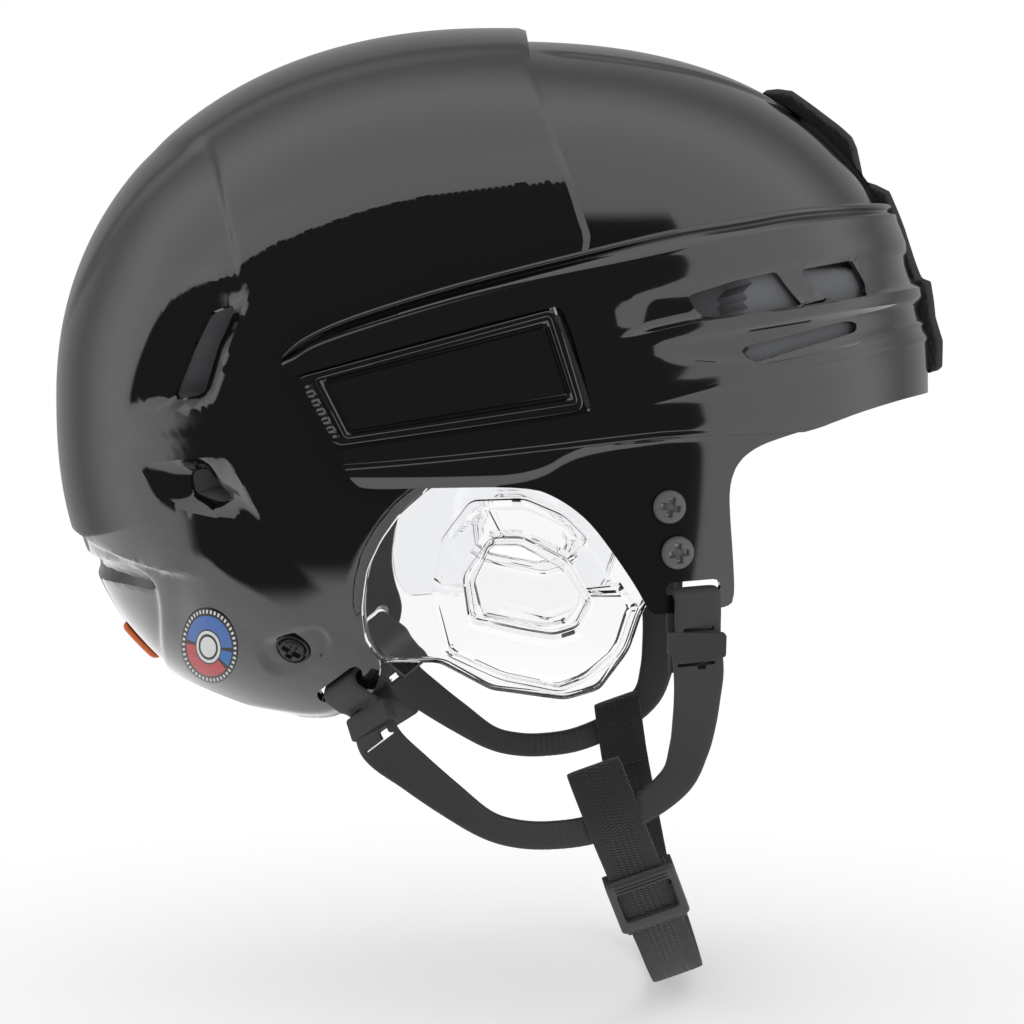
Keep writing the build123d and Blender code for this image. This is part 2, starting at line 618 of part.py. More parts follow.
def pad(shares, low=None):
    """A soft pad on the liner's inner face, right half."""
    layer = dome(liner_layer(SEAT_GAP)) - dome(liner_layer(SEAT_GAP + PAD_THICKNESS))
    return layer & prism([side_point(share) for share in shares], low=low)


def cradle_room():
    """The block that bounds the cradle and its pad."""
    height = DOME_ABOVE + CRADLE_HEIGHT_SHARE * SHELL_RISE
    return Pos(-SHELL_REACH, 0, height) * Box(SHELL_REACH, 2 * CRADLE_HALF_WIDTH, 2 * CRADLE_HALF_HEIGHT)


def occipital_cradle():
    """The curved cradle behind the nape and the neck that runs out through the rear shell."""
    inset = WALL + CRADLE_CLEARANCE
    layer = dome(rear_layer(inset)) - dome(rear_layer(inset + CRADLE_WALL))
    outside = TAB_GAP + TAB_POCKET - SEAT_GAP
    neck = block(nape_plane(), (NECK_WIDTH, NECK_LENGTH), -inset - CRADLE_WALL / 2, outside)
    return (layer & cradle_room()).fuse(neck)


def occipital_pad():
    """The soft pad on the cradle."""
    inset = WALL + CRADLE_CLEARANCE + CRADLE_WALL + SEAT_GAP
    return (dome(rear_layer(inset)) - dome(rear_layer(inset + PAD_THICKNESS))) & cradle_room()


def occipital_tab():
    """The tab outside the nape that moves the cradle up and down."""
    tab = block(nape_plane(), (TAB_WIDTH, TAB_LENGTH), TAB_GAP, TAB_GAP + TAB_HEIGHT)
    outer = tab.faces().sort_by(lambda face: face.center().dot(nape_plane().z_dir))[-1]
    tab = chamfer(outer.edges(), TAB_HEIGHT / 4)
    pocket = (NECK_WIDTH + SEAT_GAP, NECK_LENGTH + SEAT_GAP)
    return tab - block(nape_plane(), pocket, 0, TAB_GAP + TAB_POCKET)


def loop_hook(plane, layer, turn):
    """The loop's stations round the bar below a slot, from inside the shell to the outside."""
    outside = LOOP_GAP + LOOP_WALL / 2
    middle = -WALL / 2
    edge = -SLOT_HEIGHT / 2
    flat = [(-LOOP_TONGUE, middle - outside), (-LOOP_BAR_HEIGHT - 2 * LOOP_WALL, middle - outside)]
    for up in (-LOOP_BAR_HEIGHT, edge):
        curve = max(sag(plane, layer, side * LOOP_WIDTH / 2, up) for side in (-1, 1))
        flat.append((up, -WALL - outside - curve))
    for angle in HOOK_TURNS:
        lift, out = math.sin(math.radians(angle)), math.cos(math.radians(angle))
        flat.append((edge + outside * lift, middle + (outside - middle) * out))
    flat += [(edge, outside), (-LOOP_BAR_HEIGHT, outside)]
    return [(plane.origin + plane.y_dir * up + plane.z_dir * out, plane.x_dir * turn, 0.0)
            for up, out in flat]


def loop_stations():
    """Every station of the right loop: its place, the way its width points and how bar-like it is."""
    places = []
    for ahead, above, side, bar in LOOP_SHARES:
        x, z = side_point((ahead, above))
        places.append((Vector(x, -side * SHELL_HALF_WIDTH, z), bar))
    middle = []
    for index, (place, bar) in enumerate(places):
        before = places[max(index - 1, 0)][0]
        after = places[min(index + 1, len(places) - 1)][0]
        outward = Vector(0, -1, 0)
        middle.append((place, outward.cross(after - before).normalized(), bar))
    front = loop_hook(front_slot_plane(), band_layer(0), 1)
    rear = loop_hook(rear_slot_plane(), rear_layer(0), -1)
    return front + middle + list(reversed(rear))


def right_chin_loop():
    """The moulded loop that hangs from the two shells, both tongues folded round their bars."""
    stations = loop_stations()
    sections = []
    for index, (place, width_way, bar) in enumerate(stations):
        before = stations[max(index - 1, 0)][0]
        after = stations[min(index + 1, len(stations) - 1)][0]
        along = (after - before).normalized()
        across = (width_way - along * width_way.dot(along)).normalized()
        out = along.cross(across)
        half_width = (LOOP_WIDTH + (LOOP_BAR_WIDTH - LOOP_WIDTH) * bar) / 2
        half_wall = (LOOP_WALL + (LOOP_BAR_WALL - LOOP_WALL) * bar) / 2
        corners = [place + across * half_width * a + out * half_wall * b
                   for a, b in ((1, 1), (-1, 1), (-1, -1), (1, -1))]
        sections.append(Wire.make_polygon(corners, close=True))
    return Solid.make_loft(sections, True)


def bar_place():
    """Where the strap hangs on the right loop's bar, in the shares' side view and from the middle plane."""
    first, second = LOOP_SHARES[6], LOOP_SHARES[7]
    blend = [a + (b - a) * BAR_STATION_SHARE for a, b in zip(first, second)]
    x, z = side_point(blend)
    return x, z, blend[2] * SHELL_HALF_WIDTH


def strap_plane():
    """The leaning plane in which the strap hangs: X to the right side, Y down the strap."""
    x, z, _ = bar_place()
    lean = math.radians(STRAP_LEAN)
    down = Vector(math.sin(lean), 0, -math.cos(lean))
    right = Vector(0, -1, 0)
    return Plane(origin=Vector(x, 0, z) - down * STRAP_RISE, x_dir=right, z_dir=right.cross(down))


def strap_points():
    """The strap's right half in its plane: sewn end, over the bar, and down to the middle."""
    _, _, bar = bar_place()
    layer = LOOP_BAR_WALL / 2 + STRAP_GAP + STRAP_THICKNESS / 2
    crown = STRAP_THICKNESS / 2
    bend = STRAP_RISE + LOOP_BAR_WIDTH / 2
    sewn = STRAP_RISE + STRAP_SEW
    low = (bar * STRAP_LOW_SHARES[0], bend + (STRAP_HANG - bend) * STRAP_LOW_SHARES[1])
    slope = (bar + layer - low[0]) / (low[1] - bend)
    end = (bar + layer - slope * (sewn - bend) - STRAP_THICKNESS - STRAP_GAP, sewn)
    return [end, (bar - layer, bend), (bar - layer, crown), (bar + layer, crown), (bar + layer, bend),
            low, (bar * STRAP_END_SHARE, STRAP_HANG)]


def chin_strap():
    """The webbing strap, folded over both loops' bars and hanging between them."""
    right = strap_points()
    points = right + [(-x, y) for x, y in reversed(right)]
    radii = [FOLD_RADIUS, FOLD_RADIUS, FOLD_RADIUS, 2 * FOLD_RADIUS, HANG_RADIUS / 2, HANG_RADIUS / 2]
    path = FilletPolyline(*points, radius=radii + list(reversed(radii)))
    ribbon = trace(path, STRAP_THICKNESS)
    return extrude(strap_plane() * ribbon, amount=STRAP_WIDTH / 2, both=True)


def buckle_plane():
    """The plane of the buckle: X across the strap, Y down along it, Z out."""
    points = strap_points()
    plane = strap_plane()
    start, end = [plane.origin + plane.x_dir * x + plane.y_dir * y for x, y in points[4:6]]
    down = (end - start).normalized()
    return Plane(origin=start + down * BUCKLE_DOWN, x_dir=plane.z_dir, z_dir=plane.z_dir.cross(down))


def strap_buckle():
    """The ladder buckle on the strap: two bars in front, one behind, joined by side rails."""
    plane = buckle_plane()
    inner = STRAP_WIDTH + 2 * BUCKLE_PLAY
    slot = STRAP_THICKNESS + 2 * BUCKLE_PLAY
    body = block(plane, (inner + 2 * BUCKLE_RAIL, BUCKLE_LENGTH), -BUCKLE_HEIGHT / 2, BUCKLE_HEIGHT / 2)
    tunnel = block(plane, (inner, 2 * BUCKLE_LENGTH), -slot / 2, slot / 2)
    window = block(plane, (inner, BUCKLE_LENGTH - 2 * BUCKLE_BAR), 0, BUCKLE_HEIGHT)
    gap = (BUCKLE_LENGTH - BUCKLE_BAR) / 2
    ends = [block(Plane(origin=plane.origin + plane.y_dir * side * (gap + BUCKLE_BAR) / 2, x_dir=plane.x_dir,
                        z_dir=plane.z_dir), (inner, gap + SEAT_GAP), -BUCKLE_HEIGHT, 0) for side in (-1, 1)]
    return body.cut(tunnel, window, *ends)


def write(name, shape):
    """Write one sub-part to its own file."""
    export_step(shape, "parts/" + name + ".step")


def write_sides(name, shape):
    """Write a right-hand piece and its mirror copy."""
    write("right_" + name, shape)
    write("left_" + name, left_copy(shape))


def write_shells():
    write("front_shell", front_shell())
    write("rear_shell", rear_shell())
    write("forehead_strip", forehead_strip())
    write_sides("ear_guard", right_ear_guard())
    write_sides("lever", right_lever())
    write_sides("lever_pin", hinge_rod(PIN_RADIUS, EAR_LENGTH))
    write_sides("size_rack", right_size_rack())


def write_fasteners():
    planes = screw_planes()
    write("visor_screws", pair([screw(plane) for plane in planes]))
    write("visor_nuts", pair([nut(plane, guard_depth(plane) + 2 * SEAT_GAP) for plane in planes]))
    write("rear_screws", pair([screw(rear_screw_plane())]))
    write("rear_nuts", pair([nut(rear_screw_plane(), WALL + 3 * SEAT_GAP)]))


def write_liners():
    write("brow_liner", brow_liner())
    write("crown_liner", crown_liner())
    upper, lower = rear_liners()
    write("rear_crown_liner", upper)
    write("rear_liner", lower)
    write("brow_pad", whole(pad(BROW_PAD_SHARES)))
    write("crown_pad", whole(pad(CROWN_PAD_SHARES, low=-CROWN_PAD_HALF_WIDTH)))
    write("rear_pad", whole(pad(REAR_PAD_SHARES)))
    write_sides("temple_pad", pad(TEMPLE_PAD_SHARES))


def write_nape():
    write("occipital_cradle", occipital_cradle())
    write("occipital_pad", occipital_pad())
    write("occipital_tab", occipital_tab())


def write_straps():
    write_sides("chin_loop", right_chin_loop())
    write("chin_strap", chin_strap())
    write("strap_buckle", strap_buckle())


os.makedirs("parts", exist_ok=True)
write_straps()
write_nape()
write_fasteners()
write_liners()
write_shells()
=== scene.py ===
import math

import bmesh
import bpy
import numpy as np
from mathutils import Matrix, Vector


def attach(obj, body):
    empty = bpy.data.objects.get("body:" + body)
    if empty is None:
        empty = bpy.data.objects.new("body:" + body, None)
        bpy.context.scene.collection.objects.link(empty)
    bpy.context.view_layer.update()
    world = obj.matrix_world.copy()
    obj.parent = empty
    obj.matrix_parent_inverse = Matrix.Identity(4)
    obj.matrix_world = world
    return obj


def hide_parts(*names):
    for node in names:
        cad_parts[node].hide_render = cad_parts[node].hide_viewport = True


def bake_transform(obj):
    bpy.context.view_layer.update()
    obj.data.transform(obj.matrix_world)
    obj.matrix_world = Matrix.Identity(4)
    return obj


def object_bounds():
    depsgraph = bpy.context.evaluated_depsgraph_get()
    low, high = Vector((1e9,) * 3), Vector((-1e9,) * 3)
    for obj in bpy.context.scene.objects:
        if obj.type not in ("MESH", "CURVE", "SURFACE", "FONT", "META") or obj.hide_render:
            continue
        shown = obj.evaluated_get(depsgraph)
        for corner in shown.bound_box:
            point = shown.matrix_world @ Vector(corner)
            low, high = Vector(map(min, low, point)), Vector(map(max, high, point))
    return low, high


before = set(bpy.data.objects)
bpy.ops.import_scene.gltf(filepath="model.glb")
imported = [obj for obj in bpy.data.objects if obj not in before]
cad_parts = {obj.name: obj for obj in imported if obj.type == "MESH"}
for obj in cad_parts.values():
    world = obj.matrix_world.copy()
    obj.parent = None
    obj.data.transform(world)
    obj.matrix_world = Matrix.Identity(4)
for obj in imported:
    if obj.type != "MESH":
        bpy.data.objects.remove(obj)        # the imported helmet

CAD_LOW, CAD_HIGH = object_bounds()

# Ice hockey helmet. Surfaces are worked out in millimetres in the part's frame: X to the wearer's
# front, Y to the wearer's left, Z up, origin midway between the ears. MM turns them into metres.
MM = 0.001
WELD = 0.004 * MM          # points nearer than this are one
SIDES = {"right": -1, "left": 1}

# Nested domes: front reach, rear reach, rise, drop and half width about the dome's middle
DOME_MIDDLE = np.array([-10.5, 0.0, 51.5])
SIDE_POWER = 2.45
BACK_POWER = 2.16          # rounder behind and above the domes' middle
WIDTH_POWER = 2.4
REAR_DOME = np.array([136.0, 136.0, 115.0, 110.0, 102.5])
CROWN_DOME = np.array([132.6, 132.0, 111.0, 146.0, 98.5])
BAND_DOME = np.array([135.0, 175.0, 114.0, 150.0, 108.5])
LINER_DOME = np.array([113.0, 113.0, 95.0, 128.0, 82.0])
SHELL_WALL = 2.5

# Outlines and ridge lines seen from the side: X and Z
SEAM_LINE = [(-1.0, 190), (-1.0, 158.3), (4.4, 142.4), (7.7, 130.3), (11.2, 118.7), (15.3, 107.3),
             (18.5, 98.0), (8.0, 84.0), (-10.0, 66.0)]
REAR_OUTLINE = SEAM_LINE + [(-10.0, 40.0), (-26.0, 31.0), (-36.4, 23.1), (-42.1, 15.1), (-46.2, 6.4),
                            (-47.9, -5.4), (-46.8, -14.5), (-43.6, -22.2), (-43.8, -27.1), (-45.8, -32.8),
                            (-52.8, -39.4), (-62.4, -44.0), (-79.5, -42.6), (-96.6, -41.8), (-111.9, -37.0),
                            (-190.0, -22.0), (-190.0, 190.0)]
TOP_LINE = [(-69.1, 63.0), (-68.8, 67.1), (-66.6, 69.6), (-63.0, 72.4), (-52.7, 77.3), (-30.5, 84.5),
            (-8.4, 90.6), (19.4, 97.5), (41.9, 103.0), (59.2, 105.7), (77.1, 109.4), (105.1, 112.0),
            (122.0, 113.6), (160.0, 115.0)]
BROW_LINE = [(160.0, 57.0), (128.2, 54.8), (114.7, 54.4), (97.7, 50.9), (85.3, 47.0), (73.3, 43.8),
             (64.6, 40.9), (58.9, 36.2), (56.9, 29.2), (57.3, 20.7), (58.3, 9.3), (59.0, -2.0), (57.8, -4.9),
             (52.5, -5.5), (38.8, -6.6), (34.6, -6.9), (30.8, 0.7), (23.7, 11.3), (16.6, 20.7), (8.3, 26.9),
             (-0.1, 30.2), (-27.8, 29.9), (-47.0, 29.3), (-49.6, 31.6), (-51.4, 35.7), (-58.4, 47.7),
             (-66.1, 60.0)]
UPPER_RIDGE = [(-80, 62.0), (-66.0, 66.0), (-62.0, 69.2), (-54.0, 72.4), (-33.2, 79.0), (-12.5, 84.7),
               (5.5, 88.6), (24.9, 92.4), (40.3, 95.8), (63.3, 100.9), (94.0, 106.4), (125.0, 110.0)]
CHANNEL_TOP = [(28.2, 83.4), (47.3, 87.6), (71.8, 92.6), (90.0, 95.6), (102.9, 97.0), (125.0, 98.6)]
CHANNEL_LOW = [(21.8, 70.7), (36.0, 74.0), (48.6, 76.7), (75.2, 79.8), (111.4, 85.8), (125.0, 87.6)]
GROOVE_TOP = [(22.6, 68.8), (48.6, 72.3), (85.1, 78.1), (112.0, 82.0), (125.0, 83.4)]
GROOVE_LOW = [(26.2, 66.4), (44.0, 65.2), (62.0, 63.9), (85.0, 68.3), (107.5, 73.8), (125.0, 76.6)]
LOW_RIDGE = [(-80, 40.0), (16.5, 50.4), (36.0, 54.6), (59.2, 59.8), (85.0, 64.6), (107.4, 69.0),
             (125.0, 72.0)]
LIP_LINE = [(-80.0, 33.6), (-46.6, 33.4), (-22.2, 33.6), (1.3, 34.4), (13.8, 42.6), (39.4, 46.0),
            (66.4, 49.6), (91.2, 54.6), (106.4, 58.6), (125.0, 60.6)]
RAIL_LINE = [(-80.0, 34.4), (-48.6, 36.3), (-25.0, 38.4), (-0.1, 41.0), (24.9, 44.0), (44.5, 45.9),
             (125.0, 47.0)]

# Openings in the shells, seen from the side
FRONT_VENTS = [
    [(45.0, 84.2), (58.7, 88.4), (71.4, 91.2), (78.8, 81.6), (64.4, 79.0), (49.2, 77.6)],
    [(78.6, 91.8), (95.5, 94.8), (99.9, 88.2), (98.3, 83.9), (87.3, 82.0)],
    [(59.9, 69.2), (92.8, 77.0), (96.6, 76.3), (95.9, 73.7), (82.0, 70.0), (63.4, 64.8)]]
REAR_HOLE = [(-105.4, 54.9), (-99.3, 69.7), (-94.2, 79.6), (-87.5, 82.2), (-86.3, 81.2), (-91.2, 70.6),
             (-95.7, 55.9), (-103.4, 54.3)]
REAR_RECESS = [(-117.4, 50.3), (-113.1, 63.9), (-107.8, 75.3), (-101.8, 83.0), (-93.4, 87.4), (-78.0, 88.4),
               (-81.6, 78.7), (-85.6, 66.9), (-89.8, 53.1), (-97.9, 51.0)]
LOW_HOLE = [(-100.5, 32.6), (-95.0, 34.0), (-86.6, 24.4), (-92.3, 23.6), (-99.8, 26.3)]
LOW_RECESS = [(-112.9, 35.2), (-99.5, 37.0), (-86.1, 38.4), (-80.4, 28.8), (-74.4, 18.2), (-86.5, 20.1),
              (-98.4, 22.1), (-106.9, 25.2)]
TAIL_EDGE = [(-190.0, 22.0), (-139.6, 13.6), (-126.4, 9.1), (-116.5, 6.3), (-106.0, 4.6), (-88.0, 4.6),
             (-60.0, -6.0), (-30.0, -20.0)]
CREASE_LINE = [(-93.9, 130.1), (-90.2, 121.0), (-87.5, 110.8), (-84.9, 102.1), (-81.7, 93.6)]
SIDE_FOLD = [(-110.0, 70.0), (-101.0, 80.0), (-91.9, 86.6), (-81.7, 93.0), (-64.6, 101.4), (-36.4, 110.3),
             (-8.4, 114.5), (10.0, 116.0)]
BAR_RIDGE = [(-125.0, 43.2), (-110.0, 44.0), (-96.4, 45.4), (-87.0, 46.6)]
LOW_FOLD = [(-118.0, -3.0), (-105.0, 4.5), (-94.5, 12.0), (-84.0, 3.5), (-63.0, -11.0), (-45.0, -21.0)]
TAIL_POCKET = [(-190.0, 7.5), (-126.8, 5.0), (-113.5, 2.2), (-110.3, -4.9), (-124.4, -3.3), (-190.0, 2.0)]
LEVER_POCKET = [(-90.0, 54.6), (-66.0, 61.2), (6.2, 80.9), (9.6, 79.6), (17.6, 53.2), (15.6, 50.3),
                (-49.9, 41.1), (-90.0, 35.5)]


def chaikin(points, rounds, closed=True):
    """Rounds a polyline: each round puts points at a quarter and three quarters of every run."""
    line = np.array(points, float)
    for _ in range(rounds):
        ahead = np.roll(line, -1, axis=0) if closed else line[1:]
        start = line if closed else line[:-1]
        cut = np.stack([0.75 * start + 0.25 * ahead, 0.25 * start + 0.75 * ahead], axis=1).reshape(-1, 2)
        line = cut if closed else np.vstack([line[:1], cut, line[-1:]])
    return line


def eased_corners(points, cut, steps=5):
    """A polygon with each corner cut at a set distance and replaced by the curve
    (1-t)^2 A + 2 t (1-t) P + t^2 B, so that its sides stay straight."""
    corner = np.array(points, float)
    before, after = np.roll(corner, 1, axis=0), np.roll(corner, -1, axis=0)
    reach_before, reach_after = (np.linalg.norm(side - corner, axis=1)[:, None] for side in (before, after))
    start = corner + (before - corner) * np.minimum(cut / reach_before, 0.48)
    end = corner + (after - corner) * np.minimum(cut / reach_after, 0.48)
    share = np.linspace(0, 1, steps)[None, :, None]
    start, corner, end = (place[:, None] for place in (start, corner, end))
    curve = (1 - share) ** 2 * start + 2 * share * (1 - share) * corner + share ** 2 * end
    return curve.reshape(-1, 2)


def distance_to(x, z, line):
    """Least distance from side-view points to the runs of a closed polyline."""
    least = np.full(np.shape(x), np.inf)
    for (x0, z0), (x1, z1) in zip(line, np.roll(line, -1, axis=0)):
        run_x, run_z = x1 - x0, z1 - z0
        length = run_x * run_x + run_z * run_z
        if length < 1e-12:
            continue
        share = np.clip(((x - x0) * run_x + (z - z0) * run_z) / length, 0, 1)
        least = np.minimum(least, (x - x0 - share * run_x) ** 2 + (z - z0 - share * run_z) ** 2)
    return np.sqrt(least)


def inside_of(x, z, line):
    """Whether side-view points lie in a closed polyline, by counting the runs that a ray crosses."""
    crossed = np.zeros(np.shape(x), bool)
    for (x0, z0), (x1, z1) in zip(line, np.roll(line, -1, axis=0)):
        if z0 == z1:
            continue
        between = (z0 > z) != (z1 > z)
        crossed ^= between & (x < (x1 - x0) * (z - z0) / (z1 - z0) + x0)
    return crossed


def outline(points, rounds=2, cut=None):
    """A function of x and z: the distance to a rounded outline, negative inside it."""
    line = chaikin(points, rounds) if cut is None else eased_corners(points, cut)
    low, high = line.min(0) - 12, line.max(0) + 12

    def distance(x, z):
        near = (x > low[0]) & (x < high[0]) & (z > low[1]) & (z < high[1])
        out = np.full(np.shape(x), 12.0)
        out[near] = distance_to(x[near], z[near], line) * np.where(inside_of(x[near], z[near], line), -1, 1)
        return out
    return distance


def height_of(points, x):
    """The height of a ridge line over x."""
    line = chaikin(points, 2, closed=False)
    return np.interp(x, line[:, 0], line[:, 1])


def from_side(function):
    """A function of points from one of their x and z."""
    return lambda points: function(points[..., 0], points[..., 2])


def ramp(value, low, high):
    """0 below low and 1 above high, turning smoothly between them: 3t^2 - 2t^3."""
    share = np.clip((value - low) / (high - low), 0, 1)
    return share * share * (3 - 2 * share)


def side_share(across, up, dome):
    """The side view's part of a dome's sum, (|x/a|^n + |z/c|^n)^(m/n), with its own n above and behind."""
    front, back, rise, drop, _ = dome
    power = np.where((across < 0) & (up > 0), BACK_POWER, SIDE_POWER)
    total = np.abs(across / np.where(across > 0, front, back)) ** power
    total = total + np.abs(up / np.where(up > 0, rise, drop)) ** power
    return total ** (WIDTH_POWER / power)


def dome_radius(way, dome):
    """How far a dome lies from its middle along unit directions. The dome is the surface
    (|x/a|^n + |z/c|^n)^(m/n) + |y/w|^m = 1, so the distance is that sum to the power -1/m."""
    total = side_share(way[..., 0], way[..., 2], dome) + np.abs(way[..., 1] / dome[4]) ** WIDTH_POWER
    return total ** (-1 / WIDTH_POWER)


def unit(ways):
    """Directions drawn to a length of one."""
    return ways / np.linalg.norm(ways, axis=-1, keepdims=True)


def pole_ways(tilt, fall, turn):
    """Unit directions at the angle fall from a pole in the middle plane, turned about it by turn."""
    pole = np.array([math.cos(tilt), 0, math.sin(tilt)])
    ahead = np.array([-math.sin(tilt), 0, math.cos(tilt)])
    side = np.array([0, -1.0, 0])
    fall, turn = fall[..., None], turn[..., None]
    return np.cos(fall) * pole + np.sin(fall) * (np.cos(turn) * ahead + np.sin(turn) * side)


def cut_grid(way, dome, keep, folds, rows, columns):
    """A trimmed dome surface. way(u, v) gives directions over a grid of rows by columns, and keep and
    each fold are functions of the point on the dome. A grid corner within half a cell of where one of
    them is zero slides onto it down its slope, so that edges and folds run cleanly through the grid.
    Returns the corners, their directions, their grid places and the triangles where keep is below zero."""
    u, v = np.meshgrid(np.arange(rows, dtype=float), np.arange(columns, dtype=float), indexing="ij")
    step = 0.02

    def place(u, v):
        ways = way(u, v)
        return DOME_MIDDLE + ways * dome_radius(ways, dome)[..., None]

    held = np.zeros(u.shape, bool)
    on_edge = np.zeros(u.shape, bool)
    for index, function in enumerate((keep, *folds)):
        value = function(place(u, v))
        close = (np.abs(value) < 4.0) & ~held
        if not close.any():
            continue
        near_u, near_v = u[close], v[close]
        for _ in range(3):
            here = function(place(near_u, near_v))
            slope_u = function(place(near_u + step, near_v)) - function(place(near_u - step, near_v))
            slope_v = function(place(near_u, near_v + step)) - function(place(near_u, near_v - step))
            slope_u, slope_v = slope_u / (2 * step), slope_v / (2 * step)
            size = slope_u ** 2 + slope_v ** 2 + 1e-9
            near_u = near_u - here * slope_u / size
            near_v = near_v - here * slope_v / size
        moved = np.hypot(near_u - u[close], near_v - v[close]) <= 0.52
        rows_close, columns_close = np.nonzero(close)
        chosen = (rows_close[moved], columns_close[moved])
        u[chosen], v[chosen] = near_u[moved], near_v[moved]
        held[chosen] = True
        if index == 0:
            on_edge[chosen] = True
    ways = way(u, v)
    points = place(u, v)
    value = keep(points)
    value[on_edge] = 0
    out = value > 0
    number = np.arange(u.size).reshape(u.shape)
    a, b, c, d = number[:-1, :-1], number[1:, :-1], number[1:, 1:], number[:-1, 1:]
    on = (held | on_edge).ravel()
    bad = out.ravel()
    slanted = (on[b] & on[d] & ~(on[a] & on[c])) | bad[a] | bad[c]
    slanted &= ~(bad[b] | bad[d])
    first = np.where(slanted[..., None], np.stack([a, b, d], -1), np.stack([a, b, c], -1))
    second = np.where(slanted[..., None], np.stack([b, c, d], -1), np.stack([a, c, d], -1))
    triangles = np.concatenate([first.reshape(-1, 3), second.reshape(-1, 3)])
    triangles = triangles[~bad[triangles].any(1)]
    flat = points.reshape(-1, 3)
    middle = flat[triangles].mean(1)
    edge_only = on_edge.ravel()[triangles].all(1)
    triangles = triangles[~(edge_only & (keep(middle) > 0.05))]
    used = np.unique(triangles)
    renumber = np.zeros(flat.shape[0], int)
    renumber[used] = np.arange(len(used))
    places = np.stack([u.ravel()[used], v.ravel()[used]], -1)
    return flat[used], ways.reshape(-1, 3)[used], places, renumber[triangles]


def make_mesh(name, points, faces, material=None):
    """A mesh object in metres from points in millimetres and an array of triangles or quads."""
    mesh = bpy.data.meshes.new(name)
    faces = np.asarray(faces)
    corners = faces.shape[1]
    mesh.vertices.add(len(points))
    mesh.vertices.foreach_set("co", (np.asarray(points) * MM).astype(np.float32).ravel())
    mesh.loops.add(faces.size)
    mesh.loops.foreach_set("vertex_index", faces.astype(np.int32).ravel())
    mesh.polygons.add(len(faces))
    mesh.polygons.foreach_set("loop_start", np.arange(0, faces.size, corners, dtype=np.int32))
    mesh.update(calc_edges=True)
    mesh.validate()
    mesh.polygons.foreach_set("use_smooth", np.ones(len(mesh.polygons), bool))
    piece = bpy.data.objects.new(name, mesh)
    bpy.context.scene.collection.objects.link(piece)
    if material is not None:
        mesh.materials.append(material)
    return piece


def finish_edges(piece, degrees=38.0):
    """Smooth shading that stays sharp where faces turn by more than this."""
    piece.data.set_sharp_from_angle(angle=math.radians(degrees))
    return piece


def side_y(x, z, dome):
    """How far a dome's surface lies from the middle plane at a side-view point."""
    share = side_share(np.asarray(x, float) - DOME_MIDDLE[0], np.asarray(z, float) - DOME_MIDDLE[2], dome)
    return dome[4] * np.maximum(1 - share, 0) ** (1 / WIDTH_POWER)


def on_side(x, z, dome, sign, *stands):
    """Places over side-view points, one array for each stand off the dome: the surface's places moved
    along the lines from its middle."""
    way = np.stack([x, sign * side_y(x, z, dome), z], -1) - DOME_MIDDLE
    size = np.linalg.norm(way, axis=-1)
    return [DOME_MIDDLE + way * (1 + stand / size)[..., None] for stand in stands]


def slot_distance(x, z, start, end, radius):
    """Distance from side-view points to a slot with round ends, negative inside it."""
    run = np.array(end) - np.array(start)
    share = np.clip(((x - start[0]) * run[0] + (z - start[1]) * run[1]) / (run @ run), 0, 1)
    return np.hypot(x - start[0] - share * run[0], z - start[1] - share * run[1]) - radius


FRONT_SLOT = ((40.9, 0.3), (52.6, 1.0), 2.2)
REAR_SLOT = ((-59.9, -33.0), (-50.4, -25.1), 2.2)
PAWL_PLACE = (-31.87, 58.81)
RACK_MIDDLE = (-37.87, 58.81)
NAPE = np.array([-121.357, 0.0, -23.71])
NAPE_UP = np.array([-0.6946, 0.0, 0.7194])
SPINE_EDGE = [(-150.0, 52.0), (-144.0, 66.0), (-134.0, 88.0), (-121.0, 107.5), (-107.4, 121.6),
              (-95.7, 131.8), (-78.2, 141.9), (-57.9, 149.2), (-37.7, 153.7), (-20.2, 155.9), (-2.7, 156.9),
              (30.0, 157.5)]
CROWN_EDGE = [(-60.0, 157.0), (0.3, 157.0), (21.0, 155.1), (50.9, 151.0), (72.2, 144.8), (90.0, 136.0),
              (104.0, 125.0), (115.0, 109.0), (121.0, 96.0), (125.0, 80.0)]
TONGUE_OUTLINE = [(-35.4, 190.0), (-35.4, 112.0), (12.1, 97.0), (24.0, 95.0), (42.0, 100.4), (59.0, 103.1),
                  (77.0, 106.8), (105.0, 109.4), (190.0, 110.4), (190.0, 190.0)]
GUARD_OUTLINE = [(32.1, -5.8), (28.5, -16.9), (20.1, -28.7), (10.1, -31.6), (-11.3, -28.5), (-26.1, -20.2),
                 (-42.6, -20.3), (-46.7, -14.5), (-47.8, -5.1), (-46.2, 6.4), (-42.1, 15.1), (-36.4, 23.1),
                 (-28.8, 29.8), (-26.0, 38.4), (31.8, 38.4), (48.8, 36.2), (48.8, 6.2), (38.0, 4.6)]
GUARD_HOLE = [(-10.9, 13.7), (-2.8, 13.7), (8.6, 7.5), (14.4, -1.7), (12.6, -5.2), (10.0, -8.0), (4.1, -8.9),
              (-13.4, -5.9), (-15.6, 3.6)]
GUARD_RIM = [(-10.3, 15.7), (-2.0, 15.7), (10.3, 9.2), (16.7, -1.9), (13.0, -9.5), (6.4, -11.4),
             (-15.9, -7.0), (-17.6, 5.3)]
GUARD_BOSS = [(-16.8, 26.4), (-1.4, 26.9), (9.8, 22.1), (19.7, 12.1), (31.2, -5.2), (27.1, -16.9),
              (17.2, -25.7), (8.6, -29.2), (-8.5, -25.5), (-24.1, -18.1), (-28.2, -2.1), (-25.3, 15.0)]

